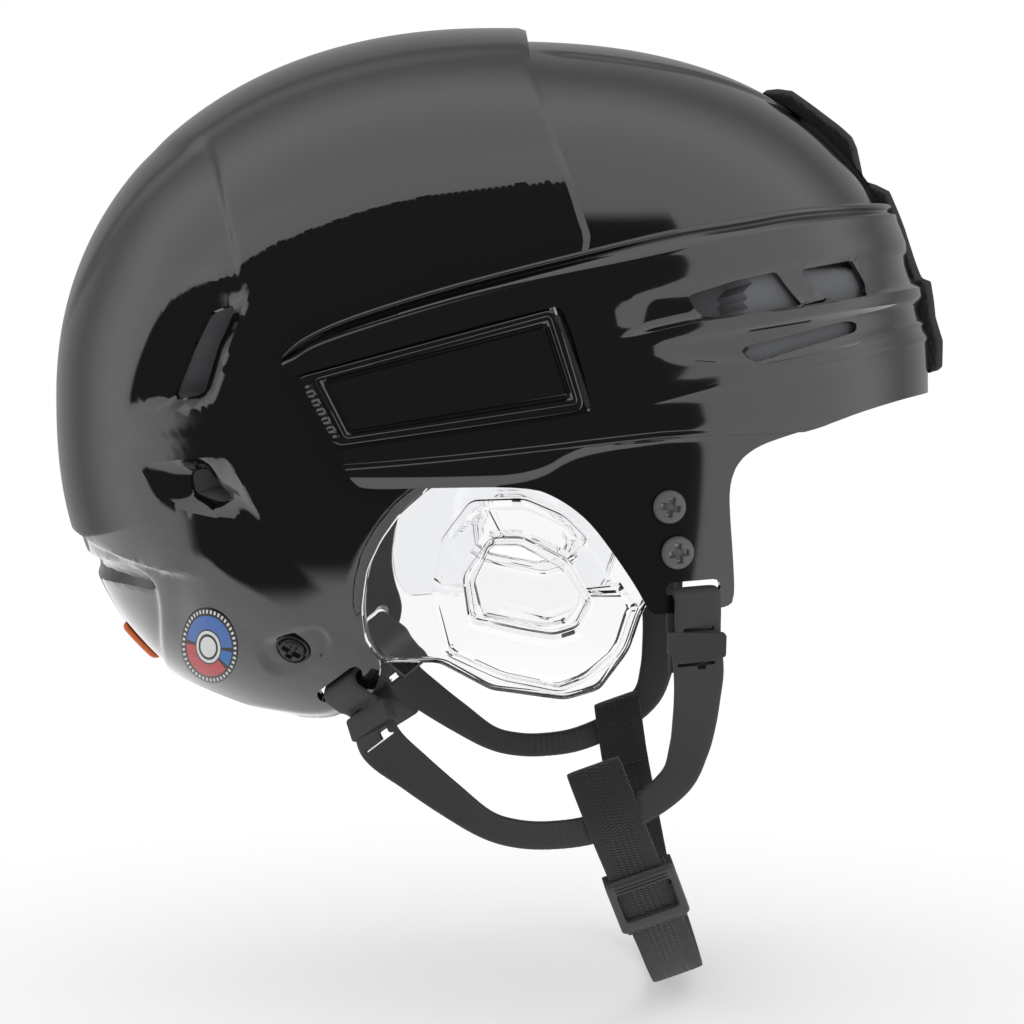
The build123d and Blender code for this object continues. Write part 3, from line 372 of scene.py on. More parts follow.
rear_outline = outline(REAR_OUTLINE)
rear_recess = outline(REAR_RECESS, cut=3.0)
tail_pocket = outline(TAIL_POCKET)
rear_hole = outline(REAR_HOLE, cut=1.6)
low_recess = outline(LOW_RECESS, cut=2.5)
low_hole = outline(LOW_HOLE, cut=1.4)
band_outline = outline(TOP_LINE + BROW_LINE)
front_vents = [outline(points, cut=1.6) for points in FRONT_VENTS]
lever_pocket = outline(LEVER_POCKET, 1)
tongue_outline = outline(TONGUE_OUTLINE)


def box_distance(across, along, half_across, half_along, corner):
    """Distance to a rounded rectangle, negative inside it."""
    away = np.stack([np.abs(across) - half_across + corner, np.abs(along) - half_along + corner])
    return np.hypot(*np.maximum(away, 0)) + np.minimum(away.max(0), 0) - corner


def nape_distance(points, half_across, half_along, corner):
    """Distance to a rounded rectangle about the nape, across and along the back of the shell."""
    along = (points - NAPE) @ NAPE_UP
    far = np.where(points[..., 0] < -60, 0.0, 60.0)
    return box_distance(points[..., 1], along, half_across, half_along, corner) + far


def rear_keep(points):
    """Negative where the rear shell is: inside its outline and outside its holes."""
    x, z = points[..., 0], points[..., 2]
    rack = box_distance(x - RACK_MIDDLE[0], z - RACK_MIDDLE[1], 15.1, 4.1, 0.3)
    holes = [rear_hole(x, z), low_hole(x, z), slot_distance(x, z, *REAR_SLOT), rack,
             nape_distance(points, 5.6, 13.9, 5.5)]
    return np.maximum(rear_outline(x, z), -np.minimum.reduce(holes))


def tent(distance, reach):
    """1 at a fold line, falling straight to 0 at its reach on both sides."""
    return np.clip(1 - np.abs(distance) / reach, 0, 1)


def line_distance(x, z, line, reach=30.0):
    """Distance from side-view points to a line, positive above it."""
    rounded = chaikin(line, 2, closed=False)
    low, high = rounded.min(0) - reach, rounded.max(0) + reach
    near = (x > low[0]) & (x < high[0]) & (z > low[1]) & (z < high[1])
    far = np.full(np.shape(x), reach)
    least = np.full(np.shape(x[near]), np.inf)
    for (x0, z0), (x1, z1) in zip(rounded[:-1], rounded[1:]):
        run_x, run_z = x1 - x0, z1 - z0
        share = np.clip(((x[near] - x0) * run_x + (z[near] - z0) * run_z) / (run_x ** 2 + run_z ** 2), 0, 1)
        least = np.minimum(least, np.hypot(x[near] - x0 - share * run_x, z[near] - z0 - share * run_z))
    far[near] = np.minimum(least, reach)
    order = np.argsort(rounded[:, 0])
    above = z > np.interp(x, rounded[order, 0], rounded[order, 1])
    return np.where(above, far, -far)


def dished(outer, hole):
    """The share of the way from a recess's outline to the hole in its floor, 0 outside."""
    depth, left = np.clip(-outer, 0, 40), np.clip(hole, 0, 40)
    return depth / np.maximum(depth + left, 0.05) * (depth > 0)


# How high each ridge of the rear shell stands off its dome and how deep each recess lies
SPINE_RISE = 0.9
FOLD_RISE = 1.5
CREASE_DEPTH = 1.1
VENT_DEPTH = 4.4
LOW_VENT_DEPTH = 4.2
BAR_RISE = 1.2
ROOF_RISE = 1.3
TAIL_STEP = 2.2
TAIL_POCKET_DEPTH = 2.4
NAPE_DEPTH = 1.5
SWELL_DEPTH = 1.2
EDGE_FALL = 1.7            # along the lower edges
SEAM_FALL = 0.7            # along the seam over the front shell


def rear_relief(points, places):
    """How far the rear shell's surface stands off its dome: a raised crown, a fold along each side, dished
    recesses round the vents, a stepped tail and falling edges."""
    x, z = points[..., 0], points[..., 2]
    edge = -rear_outline(x, z)
    seam = (z > 70) & (x > -30)
    relief = -SEAM_FALL * (1 - ramp(edge, 0, 2.6)) * seam - EDGE_FALL * (1 - ramp(edge, 0.0, 4.2)) * ~seam
    spine = z - height_of(SPINE_EDGE, x)
    relief = relief + (SPINE_RISE * ramp(spine, -2.6, 2.0) - SPINE_RISE) * ramp(z, 66, 96)
    fold = line_distance(x, z, SIDE_FOLD)
    relief = relief + FOLD_RISE * tent(fold, 11.0) * ramp(x, -103, -88)
    crease = np.interp(z, [z for _, z in CREASE_LINE[::-1]], [x for x, _ in CREASE_LINE[::-1]]) - x
    along = ramp(z, 84, 94) * (1 - ramp(z, 126, 132))
    relief = relief - CREASE_DEPTH * ramp(crease, -0.4, 2.4) * (1 - ramp(crease, 4, 30)) * along
    relief = relief - VENT_DEPTH * dished(rear_recess(x, z), rear_hole(x, z))
    relief = relief - LOW_VENT_DEPTH * dished(low_recess(x, z), low_hole(x, z))
    bar = line_distance(x, z, BAR_RIDGE)
    relief = relief + BAR_RISE * tent(bar, 5.5) * ramp(x, -125, -106) * (1 - ramp(x, -89.5, -87.5))
    roof = line_distance(x, z, LOW_FOLD)
    relief = relief + ROOF_RISE * tent(roof, 12.0) * ramp(x, -116, -104) * (1 - ramp(x, -66, -52))
    tail = height_of(TAIL_EDGE, x) - z
    relief = relief - TAIL_STEP * ramp(tail, 0.0, 2.6) * (1 - ramp(tail, 12, 34)) * (1 - ramp(x, -106, -92))
    relief = relief - TAIL_POCKET_DEPTH * ramp(-tail_pocket(x, z), -0.3, 3.0)
    wedge = -110.8 - x
    relief = relief - SWELL_DEPTH * ramp(wedge, -0.8, 1.4) * (1 - ramp(z, -6, 2)) * (1 - ramp(wedge, 8, 24))
    relief = relief - NAPE_DEPTH * ramp(-nape_distance(points, 9.6, 15.2, 3.0), -0.8, 1.2)
    swell = slot_distance(x, z, (-73.0, -20.5), (-62.4, -15.4), 5.8)
    return relief - SWELL_DEPTH * ramp(-swell, -0.4, 2.2)


def rear_folds():
    """Lines that the rear shell's grid is drawn onto: recess outlines, the side fold and the tail step."""
    def tail_step(below):
        return lambda x, z: np.where(x < -92, height_of(TAIL_EDGE, x) - z - below, 9.0)

    def side_fold(x, z):
        return np.where(x > -100, z - height_of(SIDE_FOLD, x), 9.0)

    def recess_floor(x, z):
        return rear_recess(x, z) + 2.6
    return [from_side(fold) for fold in (rear_recess, low_recess, recess_floor, side_fold, tail_step(0.0),
                                         tail_step(2.4))]


def band_keep(points):
    """Negative where the band and arms are."""
    x, z = points[..., 0], points[..., 2]
    holes = [vent(x, z) for vent in front_vents] + [slot_distance(x, z, *FRONT_SLOT), lever_pocket(x, z)]
    return np.maximum(band_outline(x, z), -np.minimum.reduce(holes))


def arm_floor_keep(points):
    """Negative where the arm's thin floor under the lever is, with a window for the pawl."""
    x, z = points[..., 0], points[..., 2]
    window = box_distance(x - PAWL_PLACE[0], z - PAWL_PLACE[1], 5.0, 3.5, 0.6)
    return np.maximum.reduce([band_outline(x, z), lever_pocket(x, z) - 1.5, -window])


def ring_reach(turn, height, dome):
    """How far from its middle a dome stands in the level direction turn, measured from straight ahead,
    at a height: halving on (|r cos t / a|^n + |z / c|^n)^(m/n) + |r sin t / w|^m = 1."""
    low, high = np.zeros(np.shape(turn)), np.full(np.shape(turn), 200.0)
    for _ in range(34):
        middle = (low + high) / 2
        full = side_share(middle * np.cos(turn), height, dome)
        full = full + np.abs(middle * np.sin(turn) / dome[4]) ** WIDTH_POWER > 1
        low, high = np.where(full, low, middle), np.where(full, middle, high)
    return (low + high) / 2


BAND_TURN = math.radians(124.0)
BAND_COLUMNS = 461


def heights_round(line, turns):
    """A side-view line's height over the band for each turn round the head, the same on both sides."""
    rounded = chaikin(line, 2, closed=False)
    share, even = np.linspace(0, 1, len(rounded)), np.linspace(0, 1, 400)
    x, z = (np.interp(even, share, column) for column in rounded.T)
    y = side_y(x, z, BAND_DOME)
    held = y > 4
    turn = np.arctan2(y[held], x[held] - DOME_MIDDLE[0])
    order = np.argsort(turn)
    return np.interp(np.abs(turns), turn[order], z[held][order])


def band_profile():
    """The band's upright profile at each turn: heights and how far each stands off the dome. Rows follow
    the rolled rim, the ridges, the channels, the rail and the lip; two rounds of corner cutting soften
    them, so that every fold runs along a row of the grid."""
    turns = np.linspace(-BAND_TURN, BAND_TURN, BAND_COLUMNS)
    lines = {name: heights_round(line, turns) for name, line in (
        ("top", TOP_LINE[1:]), ("ridge", UPPER_RIDGE), ("channel", CHANNEL_TOP), ("shelf", CHANNEL_LOW),
        ("groove", GROOVE_TOP), ("step", GROOVE_LOW), ("low", LOW_RIDGE), ("rail", RAIL_LINE),
        ("lip", LIP_LINE))}
    reach = ring_reach(turns, lines["shelf"] - DOME_MIDDLE[2], BAND_DOME)
    x = DOME_MIDDLE[0] + reach * np.cos(turns)
    front, late, middle = ramp(x, 20, 36), ramp(x, 26, 52), 1 - 0.35 * ramp(x, 116, 128)
    arm = 1 - front
    drop = -0.55 * arm                     # the arm's surface lies lower than the band's
    edge = 0.1 * front - 0.4 * arm
    rows = [("top", 0.0, -1.1), ("top", 0.45, -0.3), ("top", 0.9, 0.0), ("top", 1.6, 0.0), ("top", 2.1, -1.5),
            ("top", 2.5, -1.5), ("ridge", -0.4, 0.1), ("ridge", 0.2, 0.1), ("ridge", 1.0, drop - 0.2 * front),
            ("ridge", 2.4, drop - 0.35 * front), ("channel", -0.5, drop - 0.5 * front),
            ("channel", 1.7, drop - 3.0 * front * middle), ("shelf", -2.0, drop - 2.6 * front * middle),
            ("shelf", -0.1, drop + 0.1 * front), ("shelf", 0.7, drop + 0.1 * front), ("groove", -0.5, drop),
            ("groove", 1.3, drop - 2.5 * late * middle), ("step", -1.6, drop - 2.2 * late * middle),
            ("step", 0.0, drop - 0.5 * late), ("low", -3.0, drop - 1.2 * late), ("low", -0.3, edge),
            ("low", 0.5, edge), ("low", 1.6, -0.4), ("rail", -1.2, -0.6), ("rail", -0.3, 0.05),
            ("rail", 0.6, 0.05), ("rail", 1.3, -0.3), ("lip", -0.3, -0.1), ("lip", 0.5, -0.2),
            ("lip", 3.0, -1.6), ("lip", 5.0, -1.8)]
    heights = np.stack([lines[name] - below for name, below, _ in rows])
    stand = np.stack([np.broadcast_to(value, turns.shape) for _, _, value in rows])
    last = heights[-1]
    share = np.linspace(0, 1, 12)[1:, None]
    heights = np.concatenate([heights, last + share * (-10.0 - last)])
    stand = np.concatenate([stand, np.broadcast_to(stand[-1], (11, len(turns)))])
    heights = np.minimum.accumulate(heights, axis=0)

    def cut(values):
        ahead, start = values[1:], values[:-1]
        both = np.stack([0.75 * start + 0.25 * ahead, 0.25 * start + 0.75 * ahead], 1)
        return np.concatenate([values[:1], both.reshape(-1, values.shape[1]), values[-1:]])
    return cut(heights), cut(stand)


BAND_HEIGHTS, BAND_STAND = band_profile()


def at_place(table, u, v):
    """A table's value at places between its rows and columns, weighing the four around each."""
    row = np.clip(np.floor(u).astype(int), 0, table.shape[0] - 2)
    column = np.clip(np.floor(v).astype(int), 0, table.shape[1] - 2)
    a, b = u - row, v - column
    return ((1 - a) * (1 - b) * table[row, column] + a * (1 - b) * table[row + 1, column]
            + (1 - a) * b * table[row, column + 1] + a * b * table[row + 1, column + 1])


def band_way(u, v):
    """Directions of the band's grid: columns turn round the head and rows follow its profile."""
    turn = -BAND_TURN + 2 * BAND_TURN * v / (BAND_COLUMNS - 1)
    height = at_place(BAND_HEIGHTS, u, v) - DOME_MIDDLE[2]
    reach = ring_reach(turn, height, BAND_DOME)
    return unit(np.stack([reach * np.cos(turn), -reach * np.sin(turn), height], -1))


def crown_relief(points, places):
    """How far the front crown stands off its dome: a raised middle and a falling front edge."""
    x, z = points[..., 0], points[..., 2]
    raised = z - height_of(CROWN_EDGE, x)
    return -1.0 * (1 - ramp(raised, -0.5, 0.6)) * ramp(x, 0, 12) * (1 - ramp(x, 112, 122))


def level(stand=0.0):
    """A relief that stands evenly off its dome."""
    return lambda points, places: np.full(len(points), stand)


def shell_piece(name, material, way, grid, dome, keep, relief, wall, folds=(), inner=None):
    """A shell: its dome trimmed to its outline and moved along the directions by its relief. The inner
    face lies a wall deeper, at least 1.1 mm, or deeper still where inner says so."""
    points, ways, places, triangles = cut_grid(way, dome, keep, folds, *grid)
    radius = dome_radius(ways, dome)
    outer = radius + relief(points, places)
    deep = np.minimum(radius - wall, outer - 1.1)
    if inner is not None:
        deep = np.minimum(deep, inner(points, ways, radius))
    outside, inside = (DOME_MIDDLE + ways * reach[:, None] for reach in (outer, deep))
    faces = closed_faces(triangles, len(points), outside)
    return finish_edges(make_mesh(name, np.concatenate([outside, inside]), faces, material))


def stand_in(piece, body, node):
    """Lets the piece ride a body and stand for one of its nodes."""
    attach(piece, body)
    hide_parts(node)
    return piece


def closed_faces(triangles, count, outside):
    """Triangles of the outer face, the same turned round for the inner one, and the rims between."""
    a, b, c = (outside[triangles[:, i]] for i in range(3))
    outward = (np.cross(b - a, c - a) * (a - DOME_MIDDLE)).sum(1)
    if np.median(outward) < 0:
        triangles = triangles[:, ::-1]
    edges = np.concatenate([triangles[:, [0, 1]], triangles[:, [1, 2]], triangles[:, [2, 0]]])
    key = np.sort(edges, axis=1)
    _, index, times = np.unique(key[:, 0] * count + key[:, 1], return_index=True, return_counts=True)
    rim = edges[index[times == 1]]
    start, end = rim[:, 0], rim[:, 1]
    skirt = np.concatenate([np.stack([end, start, start + count], -1),
                            np.stack([end, start + count, end + count], -1)])
    return np.concatenate([triangles, triangles[:, ::-1] + count, skirt])


def rear_way(u, v):
    """Directions round a pole below the nape, 1.6 mm apart on the shell."""
    return pole_ways(math.radians(-120), np.radians(24 + 0.68 * u), np.radians(12 + 0.8 * v))


def band_relief(points, places):
    """How far the band's surface stands off its dome at its grid places."""
    return at_place(BAND_STAND, places[:, 0], places[:, 1])


def front_way(step, turn_step):
    """Directions round a pole through the face opening."""
    def way(u, v):
        return pole_ways(math.radians(-40), np.radians(30 + step * u), np.radians(-168 + turn_step * v))
    return way


def band_inner(points, ways, radius):
    """The band's inner face: 3.8 mm deep in the arms, 2.5 mm at the ears, and down onto the crown along
    the front's upper edge."""
    x, z = points[:, 0], points[:, 2]
    arm = (1 - ramp(x, 16, 22)) * ramp(z, 29, 34)
    deep = radius - SHELL_WALL - 1.3 * arm
    onto = (1 - ramp(height_of(TOP_LINE, x) - z, 3.0, 6.0)) * ramp(x, 14, 20)
    crown = dome_radius(ways, CROWN_DOME - 0.6)
    return deep + (np.minimum(crown, deep) - deep) * onto


# Finishes

def new_material(name):
    """A node material with its Principled shader and output, and its node tree."""
    material = bpy.data.materials.new(name)
    material.use_nodes = True
    return material, material.node_tree, material.node_tree.nodes["Principled BSDF"]


def effect_group(name, inputs, outputs):
    """An empty node group with named inputs (name, kind, value) and outputs (name, kind)."""
    group = bpy.data.node_groups.new(name, "ShaderNodeTree")
    for label, kind, value in inputs:
        socket = group.interface.new_socket(label, in_out="INPUT", socket_type="NodeSocket" + kind)
        socket.default_value = value
    for label, kind in outputs:
        group.interface.new_socket(label, in_out="OUTPUT", socket_type="NodeSocket" + kind)
    return group, group.nodes.new("NodeGroupInput"), group.nodes.new("NodeGroupOutput")


def add_node(tree, kind, settings=None, **inputs):
    """A node with its settings and its input values or links."""
    node = tree.nodes.new("ShaderNode" + kind)
    for label, value in (settings or {}).items():
        setattr(node, label, value)
    for label, value in inputs.items():
        numbered = label[0] == "i" and label[1:].isdigit()
        socket = node.inputs[int(label[1:]) if numbered else label.replace("_", " ")]
        if isinstance(value, bpy.types.NodeSocket):
            tree.links.new(value, socket)
        else:
            socket.default_value = value
    return node


def maths(tree, operation, *values):
    """The value of a maths node over numbers or sockets."""
    inputs = {f"i{index}": value for index, value in enumerate(values)}
    return add_node(tree, "Math", {"operation": operation}, **inputs).outputs["Value"]


def moulded_group():
    """Moulded plastic: fine grain for the bump, and a little variation of roughness and colour."""
    group, start, end = effect_group(
        "moulded plastic", [("Colour", "Color", (0.01, 0.01, 0.011, 1)), ("Roughness", "Float", 0.2),
                            ("Grain size", "Float", 900.0), ("Grain depth", "Float", 0.1)],
        [("Colour", "Color"), ("Roughness", "Float"), ("Normal", "Vector")])
    place = add_node(group, "TexCoord").outputs["Object"]
    cloudy = add_node(group, "TexNoise", Vector=place, Scale=26.0, Detail=3.0)
    grain = add_node(group, "TexNoise", Vector=place, Scale=start.outputs["Grain size"], Detail=2.0)
    swing = add_node(group, "MapRange", Value=cloudy.outputs["Fac"], From_Min=0.3, From_Max=0.7, To_Min=0.9,
                     To_Max=1.14)
    rough = maths(group, "MULTIPLY", start.outputs["Roughness"], swing.outputs["Result"])
    tint = add_node(group, "MixRGB", {"blend_type": "MULTIPLY"}, Fac=0.35, Color1=start.outputs["Colour"],
                    Color2=swing.outputs["Result"])
    bump = add_node(group, "Bump", Strength=start.outputs["Grain depth"], Distance=0.0002,
                    Height=grain.outputs["Fac"])
    group.links.new(tint.outputs["Color"], end.inputs["Colour"])
    group.links.new(rough, end.inputs["Roughness"])
    group.links.new(bump.outputs["Normal"], end.inputs["Normal"])
    return group


MOULDED = moulded_group()


def moulded_material(name, colour, roughness, grain_size=900.0, grain_depth=0.1, coat=0.0):
    """A moulded plastic finish with an optional clear gloss over it."""
    material, tree, shader = new_material(name)
    effect = add_node(tree, "Group", {"node_tree": MOULDED}, Colour=(*colour, 1), Roughness=roughness,
                      Grain_size=grain_size, Grain_depth=grain_depth)
    for label, socket in (("Colour", "Base Color"), ("Roughness", "Roughness"), ("Normal", "Normal")):
        tree.links.new(effect.outputs[label], shader.inputs[socket])
    shader.inputs["Coat Weight"].default_value = coat
    shader.inputs["Coat Roughness"].default_value = 0.03
    return material


shell_black = moulded_material("shell black", (0.005, 0.005, 0.0055), 0.1, 700.0, 0.02, coat=1.0)
shell_black.node_tree.nodes["Principled BSDF"].inputs["Coat IOR"].default_value = 1.6
pebbled_black = moulded_material("pebbled black", (0.007, 0.007, 0.0075), 0.34, 620.0, 0.9)
matte_black = moulded_material("matte black", (0.012, 0.012, 0.013), 0.5, 900.0, 0.3)
loop_grey = moulded_material("loop grey", (0.042, 0.043, 0.046), 0.55, 1100.0, 0.25)
buckle_grey = moulded_material("buckle grey", (0.05, 0.051, 0.055), 0.4, 900.0, 0.25)
tab_orange = moulded_material("tab orange", (0.75, 0.14, 0.02), 0.42, 900.0, 0.2)
screw_grey = moulded_material("screw grey", (0.11, 0.112, 0.115), 0.34, 1200.0, 0.3)
screw_black = moulded_material("screw black", (0.012, 0.012, 0.013), 0.28, 1200.0, 0.3)
nut_steel = moulded_material("nut steel", (0.55, 0.55, 0.56), 0.3, 2200.0, 0.3)
nut_steel.node_tree.nodes["Principled BSDF"].inputs["Metallic"].default_value = 1.0
foam_grey = moulded_material("foam grey", (0.16, 0.165, 0.175), 0.9, 420.0, 1.0)
pad_black = moulded_material("pad black", (0.016, 0.016, 0.017), 0.85, 1500.0, 1.0)


def webbing_material(name, colour):
    """Woven webbing: rows of a basket weave from two waves over the strap's own map, in millimetres, with a
    painted highlight on the raised threads and painted shade in the gaps between them, from the weave's height."""
    material, tree, shader = new_material(name)
    place = add_node(tree, "UVMap", {"uv_map": "lay"}).outputs["UV"]
    split = add_node(tree, "SeparateXYZ", Vector=place)
    waves = [maths(tree, "SINE", maths(tree, "MULTIPLY", split.outputs[axis], 2 * math.pi / period))
             for axis, period in (("X", 1.3), ("Y", 1.0))]
    height = maths(tree, "MULTIPLY_ADD", maths(tree, "MULTIPLY", *waves), 0.5, 0.5)
    # painted highlight on the raised threads and painted shade in the gaps, set by the weave's height
    dark, pale = ((*(share * part for part in colour), 1) for share in (0.55, 1.5))
    tint = add_node(tree, "MixRGB", Fac=height, Color1=dark, Color2=pale)
    bump = add_node(tree, "Bump", Strength=0.8, Distance=0.0004, Height=height)
    tree.links.new(tint.outputs["Color"], shader.inputs["Base Color"])
    tree.links.new(bump.outputs["Normal"], shader.inputs["Normal"])
    shader.inputs["Roughness"].default_value = 0.75
    shader.inputs["Sheen Weight"].default_value = 0.25
    return material


webbing_black = webbing_material("webbing black", (0.014, 0.014, 0.015))


def mark_material(name):
    """A round print: a black disc with a ring of white ticks, a band of blue and red, and a white middle
    with a dark ring, from the radius and angle of the disc's own map."""
    material, tree, shader = new_material(name)
    place = add_node(tree, "UVMap", {"uv_map": "lay"}).outputs["UV"]
    split = add_node(tree, "SeparateXYZ", Vector=place)
    far = add_node(tree, "VectorMath", {"operation": "LENGTH"}, i0=place).outputs["Value"]
    angle = maths(tree, "ARCTAN2", split.outputs["Y"], split.outputs["X"])

    def both(first, second):
        return maths(tree, "MULTIPLY", first, second)

    def between(value, low, high):
        return both(maths(tree, "GREATER_THAN", value, low), maths(tree, "LESS_THAN", value, high))

    tick = maths(tree, "SINE", maths(tree, "MULTIPLY", angle, 44.0))
    colour = (0.012, 0.012, 0.013, 1)
    band = between(far, 0.46, 0.80)
    layers = [(both(between(far, 0.86, 0.95), between(tick, 0.1, 2.0)), (0.75, 0.75, 0.75, 1)),
              (both(band, between(angle, 0.05, 3.0)), (0.06, 0.16, 0.46, 1)),
              (both(band, between(angle, -3.2, -0.75)), (0.55, 0.055, 0.06, 1)),
              (both(band, between(angle, -0.6, -0.1)), (0.02, 0.17, 0.5, 1)),
              (between(far, -1.0, 0.42), (0.78, 0.78, 0.78, 1)),
              (between(far, 0.27, 0.34), (0.012, 0.012, 0.013, 1))]
    for mask, paint in layers:
        colour = add_node(tree, "MixRGB", Fac=mask, Color1=colour, Color2=paint).outputs["Color"]
    tree.links.new(colour, shader.inputs["Base Color"])
    shader.inputs["Roughness"].default_value = 0.25
    return material


mark_print = mark_material("round print")

# Shells

FRONT_PIECES = {
    "front_crown": (front_way(0.78, 0.8), (160, 420), CROWN_DOME, from_side(tongue_outline), crown_relief,
                    SHELL_WALL, None),
    "front_band": (band_way, BAND_HEIGHTS.shape, BAND_DOME, band_keep, band_relief, SHELL_WALL, band_inner),
    "arm_floor": (band_way, BAND_HEIGHTS.shape, BAND_DOME, arm_floor_keep, level(-2.9), 3.8, None)}

stand_in(shell_piece("rear_shell_skin", shell_black, rear_way, (206, 421), REAR_DOME, rear_keep, rear_relief,
                     SHELL_WALL, folds=rear_folds()), "rear", "rear_shell")
for name, (*build, inner) in FRONT_PIECES.items():
    stand_in(shell_piece(name, shell_black, *build, inner=inner), "front", "front_shell")

# Flip levers

HINGE_ENDS = [np.array([6.908, -104.567, 77.95]), np.array([16.564, -105.32, 52.42])]
LEVER_RIBS = 6
LEVER_CORNERS = np.array([(-66.0, 60.9), (7.4, 80.6), (16.0, 51.5), (-54.9, 41.4)])
PANEL_CORNERS = np.array([(-60.4, 60.6), (5.8, 78.6), (13.8, 53.5), (-51.6, 43.6)])
TAB_CORNERS = np.array([(-63.6, 58.4), (-60.9, 59.3), (-52.6, 44.3), (-55.3, 43.6)])


def rounded_ring(length, height, inset, corner, counts):
    """Places round a rectangle with round corners, drawn in by inset: quarter circles and straight
    sides in turn, with the same number of places at every inset."""
    half = np.array([length / 2 - inset, height / 2 - inset])
    radius = min(max(corner - inset, 0.25), half.min())
    centres = (half - radius) * np.array([(1, 1), (-1, 1), (-1, -1), (1, -1)])
    runs = []
    for index, centre in enumerate(centres):
        angle = np.radians(90 * index + np.linspace(0, 90, counts[0]))
        arc = centre + radius * np.stack([np.cos(angle), np.sin(angle)], -1)
        following = centres[(index + 1) % 4]
        ahead = following + radius * np.array([math.cos(angle[-1]), math.sin(angle[-1])])
        share = np.linspace(0, 1, counts[1 + index % 2] + 2)[1:-1, None]
        runs += [arc, arc[-1] * (1 - share) + ahead * share]
    return np.concatenate(runs)


def plate_patch(corners, dome, sign, insets, stands, corner=3.0, counts=(7, 44, 15), wall=2.3, ribs=None):
    """A plate over a side-view quad: rounded rectangles at growing insets, each at its own stand off the
    dome, laid between the quad's corners by shares of its length and height. The inner face lies a wall
    deeper. Ribs add a function of the share along the height to the stand."""
    a, b, c, d = corners
    length = (np.linalg.norm(b - a) + np.linalg.norm(c - d)) / 2
    height = (np.linalg.norm(d - a) + np.linalg.norm(c - b)) / 2
    outside, inside = [], []
    for inset, stand in zip([*insets, min(length, height) / 2], [*stands, stands[-1]]):
        ring = rounded_ring(length, height, inset, corner, counts)
        s, r = ring[:, :1] / length + 0.5, 0.5 - ring[:, 1:] / height
        spot = (1 - r) * ((1 - s) * a + s * b) + r * ((1 - s) * d + s * c)
        extra = 0.0 if ribs is None else ribs(r[:, 0]) * (inset > 0.5)
        outer, inner = on_side(*spot.T, dome, sign, stand + extra, min(stand, stands[2]) - wall)
        outside.append(outer)
        inside.append(inner)
    rings = np.stack(outside[::-1] + inside)
    return rings.reshape(-1, 3), tube_faces(len(rings), rings.shape[1])


def lever_ribs(share):
    """Ribs across the finger tab: a sine along its height, six to its length."""
    return 0.28 * np.cos(share * 2 * math.pi * LEVER_RIBS)


def rod(ends, radius, turns=20):
    """A round bar between two points with domed ends: rings of points round its axis."""
    start, end = (np.array(point, float) for point in ends)
    along = (end - start) / np.linalg.norm(end - start)
    first = np.cross(along, [0, 0, 1.0] if abs(along[2]) < 0.9 else [1.0, 0, 0])
    first = first / np.linalg.norm(first)
    second = np.cross(along, first)
    angle = np.linspace(0, 2 * math.pi, turns, endpoint=False)
    ring = np.cos(angle)[:, None] * first + np.sin(angle)[:, None] * second
    stations = [(start, 0.0), (start, 0.75), (start + along * radius * 0.3, 1.0),
                (end - along * radius * 0.3, 1.0), (end, 0.75), (end, 0.0)]
    points = np.concatenate([place + ring * radius * size for place, size in stations])
    return points, tube_faces(len(stations), turns)


def tube_faces(rings, turns):
    """Quads between rings of points."""
    index = np.arange(rings * turns).reshape(rings, turns)
    after = np.roll(index, -1, axis=1)
    return np.stack([index[:-1], after[:-1], after[1:], index[1:]], -1).reshape(-1, 4)


def merged(piece, weld=WELD):
    """The piece with doubled points joined and faces pointing outwards."""
    build = bmesh.new()
    build.from_mesh(piece.data)
    bmesh.ops.remove_doubles(build, verts=build.verts, dist=weld)
    bmesh.ops.recalc_face_normals(build, faces=build.faces)
    build.to_mesh(piece.data)
    build.free()
    return piece


def joined(name, parts, material):
    """One piece from several point and face arrays."""
    count, all_points, all_faces = 0, [], []
    for points, faces in parts:
        all_points.append(points)
        all_faces.append(faces + count)
        count += len(points)
    return make_mesh(name, np.concatenate(all_points), np.concatenate(all_faces), material)


def set_piece(name, parts, material, body, node, sharp=None, weld=WELD):
    """One closed piece from parts, sharp where faces turn by more than told, standing for a node."""
    piece = merged(joined(name, parts, material), weld)
    if sharp is not None:
        finish_edges(piece, sharp)
    return stand_in(piece, body, node)


PLATE_INSETS = [0.0, 0.3, 0.8, 1.6, 2.6, 4.0, 6.5, 9.0, 11.4, 13.2]
PLATE_STANDS = [-1.6, -1.15] + 8 * [-0.95]
PANEL_INSETS = [0.0, 0.2, 0.5, 1.35, 1.55, 1.9, 2.4, 2.75, 2.95, 3.6, 6.0, 8.4, 10.6, 12.2]
PANEL_STANDS = [-0.95, -0.5, -0.35, -0.35, -0.6, -1.0, -1.0, -0.6] + 6 * [-0.4]
TAB_INSETS = [0.0, 0.3, 0.6, 1.0, 1.35]
TAB_STANDS = [-0.9, -0.35] + 3 * [-0.25]
LEVER_WELD = 0.005 * MM

for side, sign in SIDES.items():
    plates = [plate_patch(LEVER_CORNERS, BAND_DOME, sign, PLATE_INSETS, PLATE_STANDS, 3.2),
              plate_patch(PANEL_CORNERS, BAND_DOME, sign, PANEL_INSETS, PANEL_STANDS, 1.6, wall=1.2),
              plate_patch(TAB_CORNERS, BAND_DOME, sign, TAB_INSETS, TAB_STANDS, 1.0, counts=(4, 3, 60),
                          wall=1.4, ribs=lever_ribs)]
    barrel = rod([end * np.array([1, -sign, 1]) for end in HINGE_ENDS], 1.5)
    set_piece(side + "_lever_plate", plates, shell_black, side + "_lever", side + "_lever", 30.0, LEVER_WELD)
    set_piece(side + "_lever_barrel", [barrel], matte_black, side + "_lever", side + "_lever")

# Liners and pads

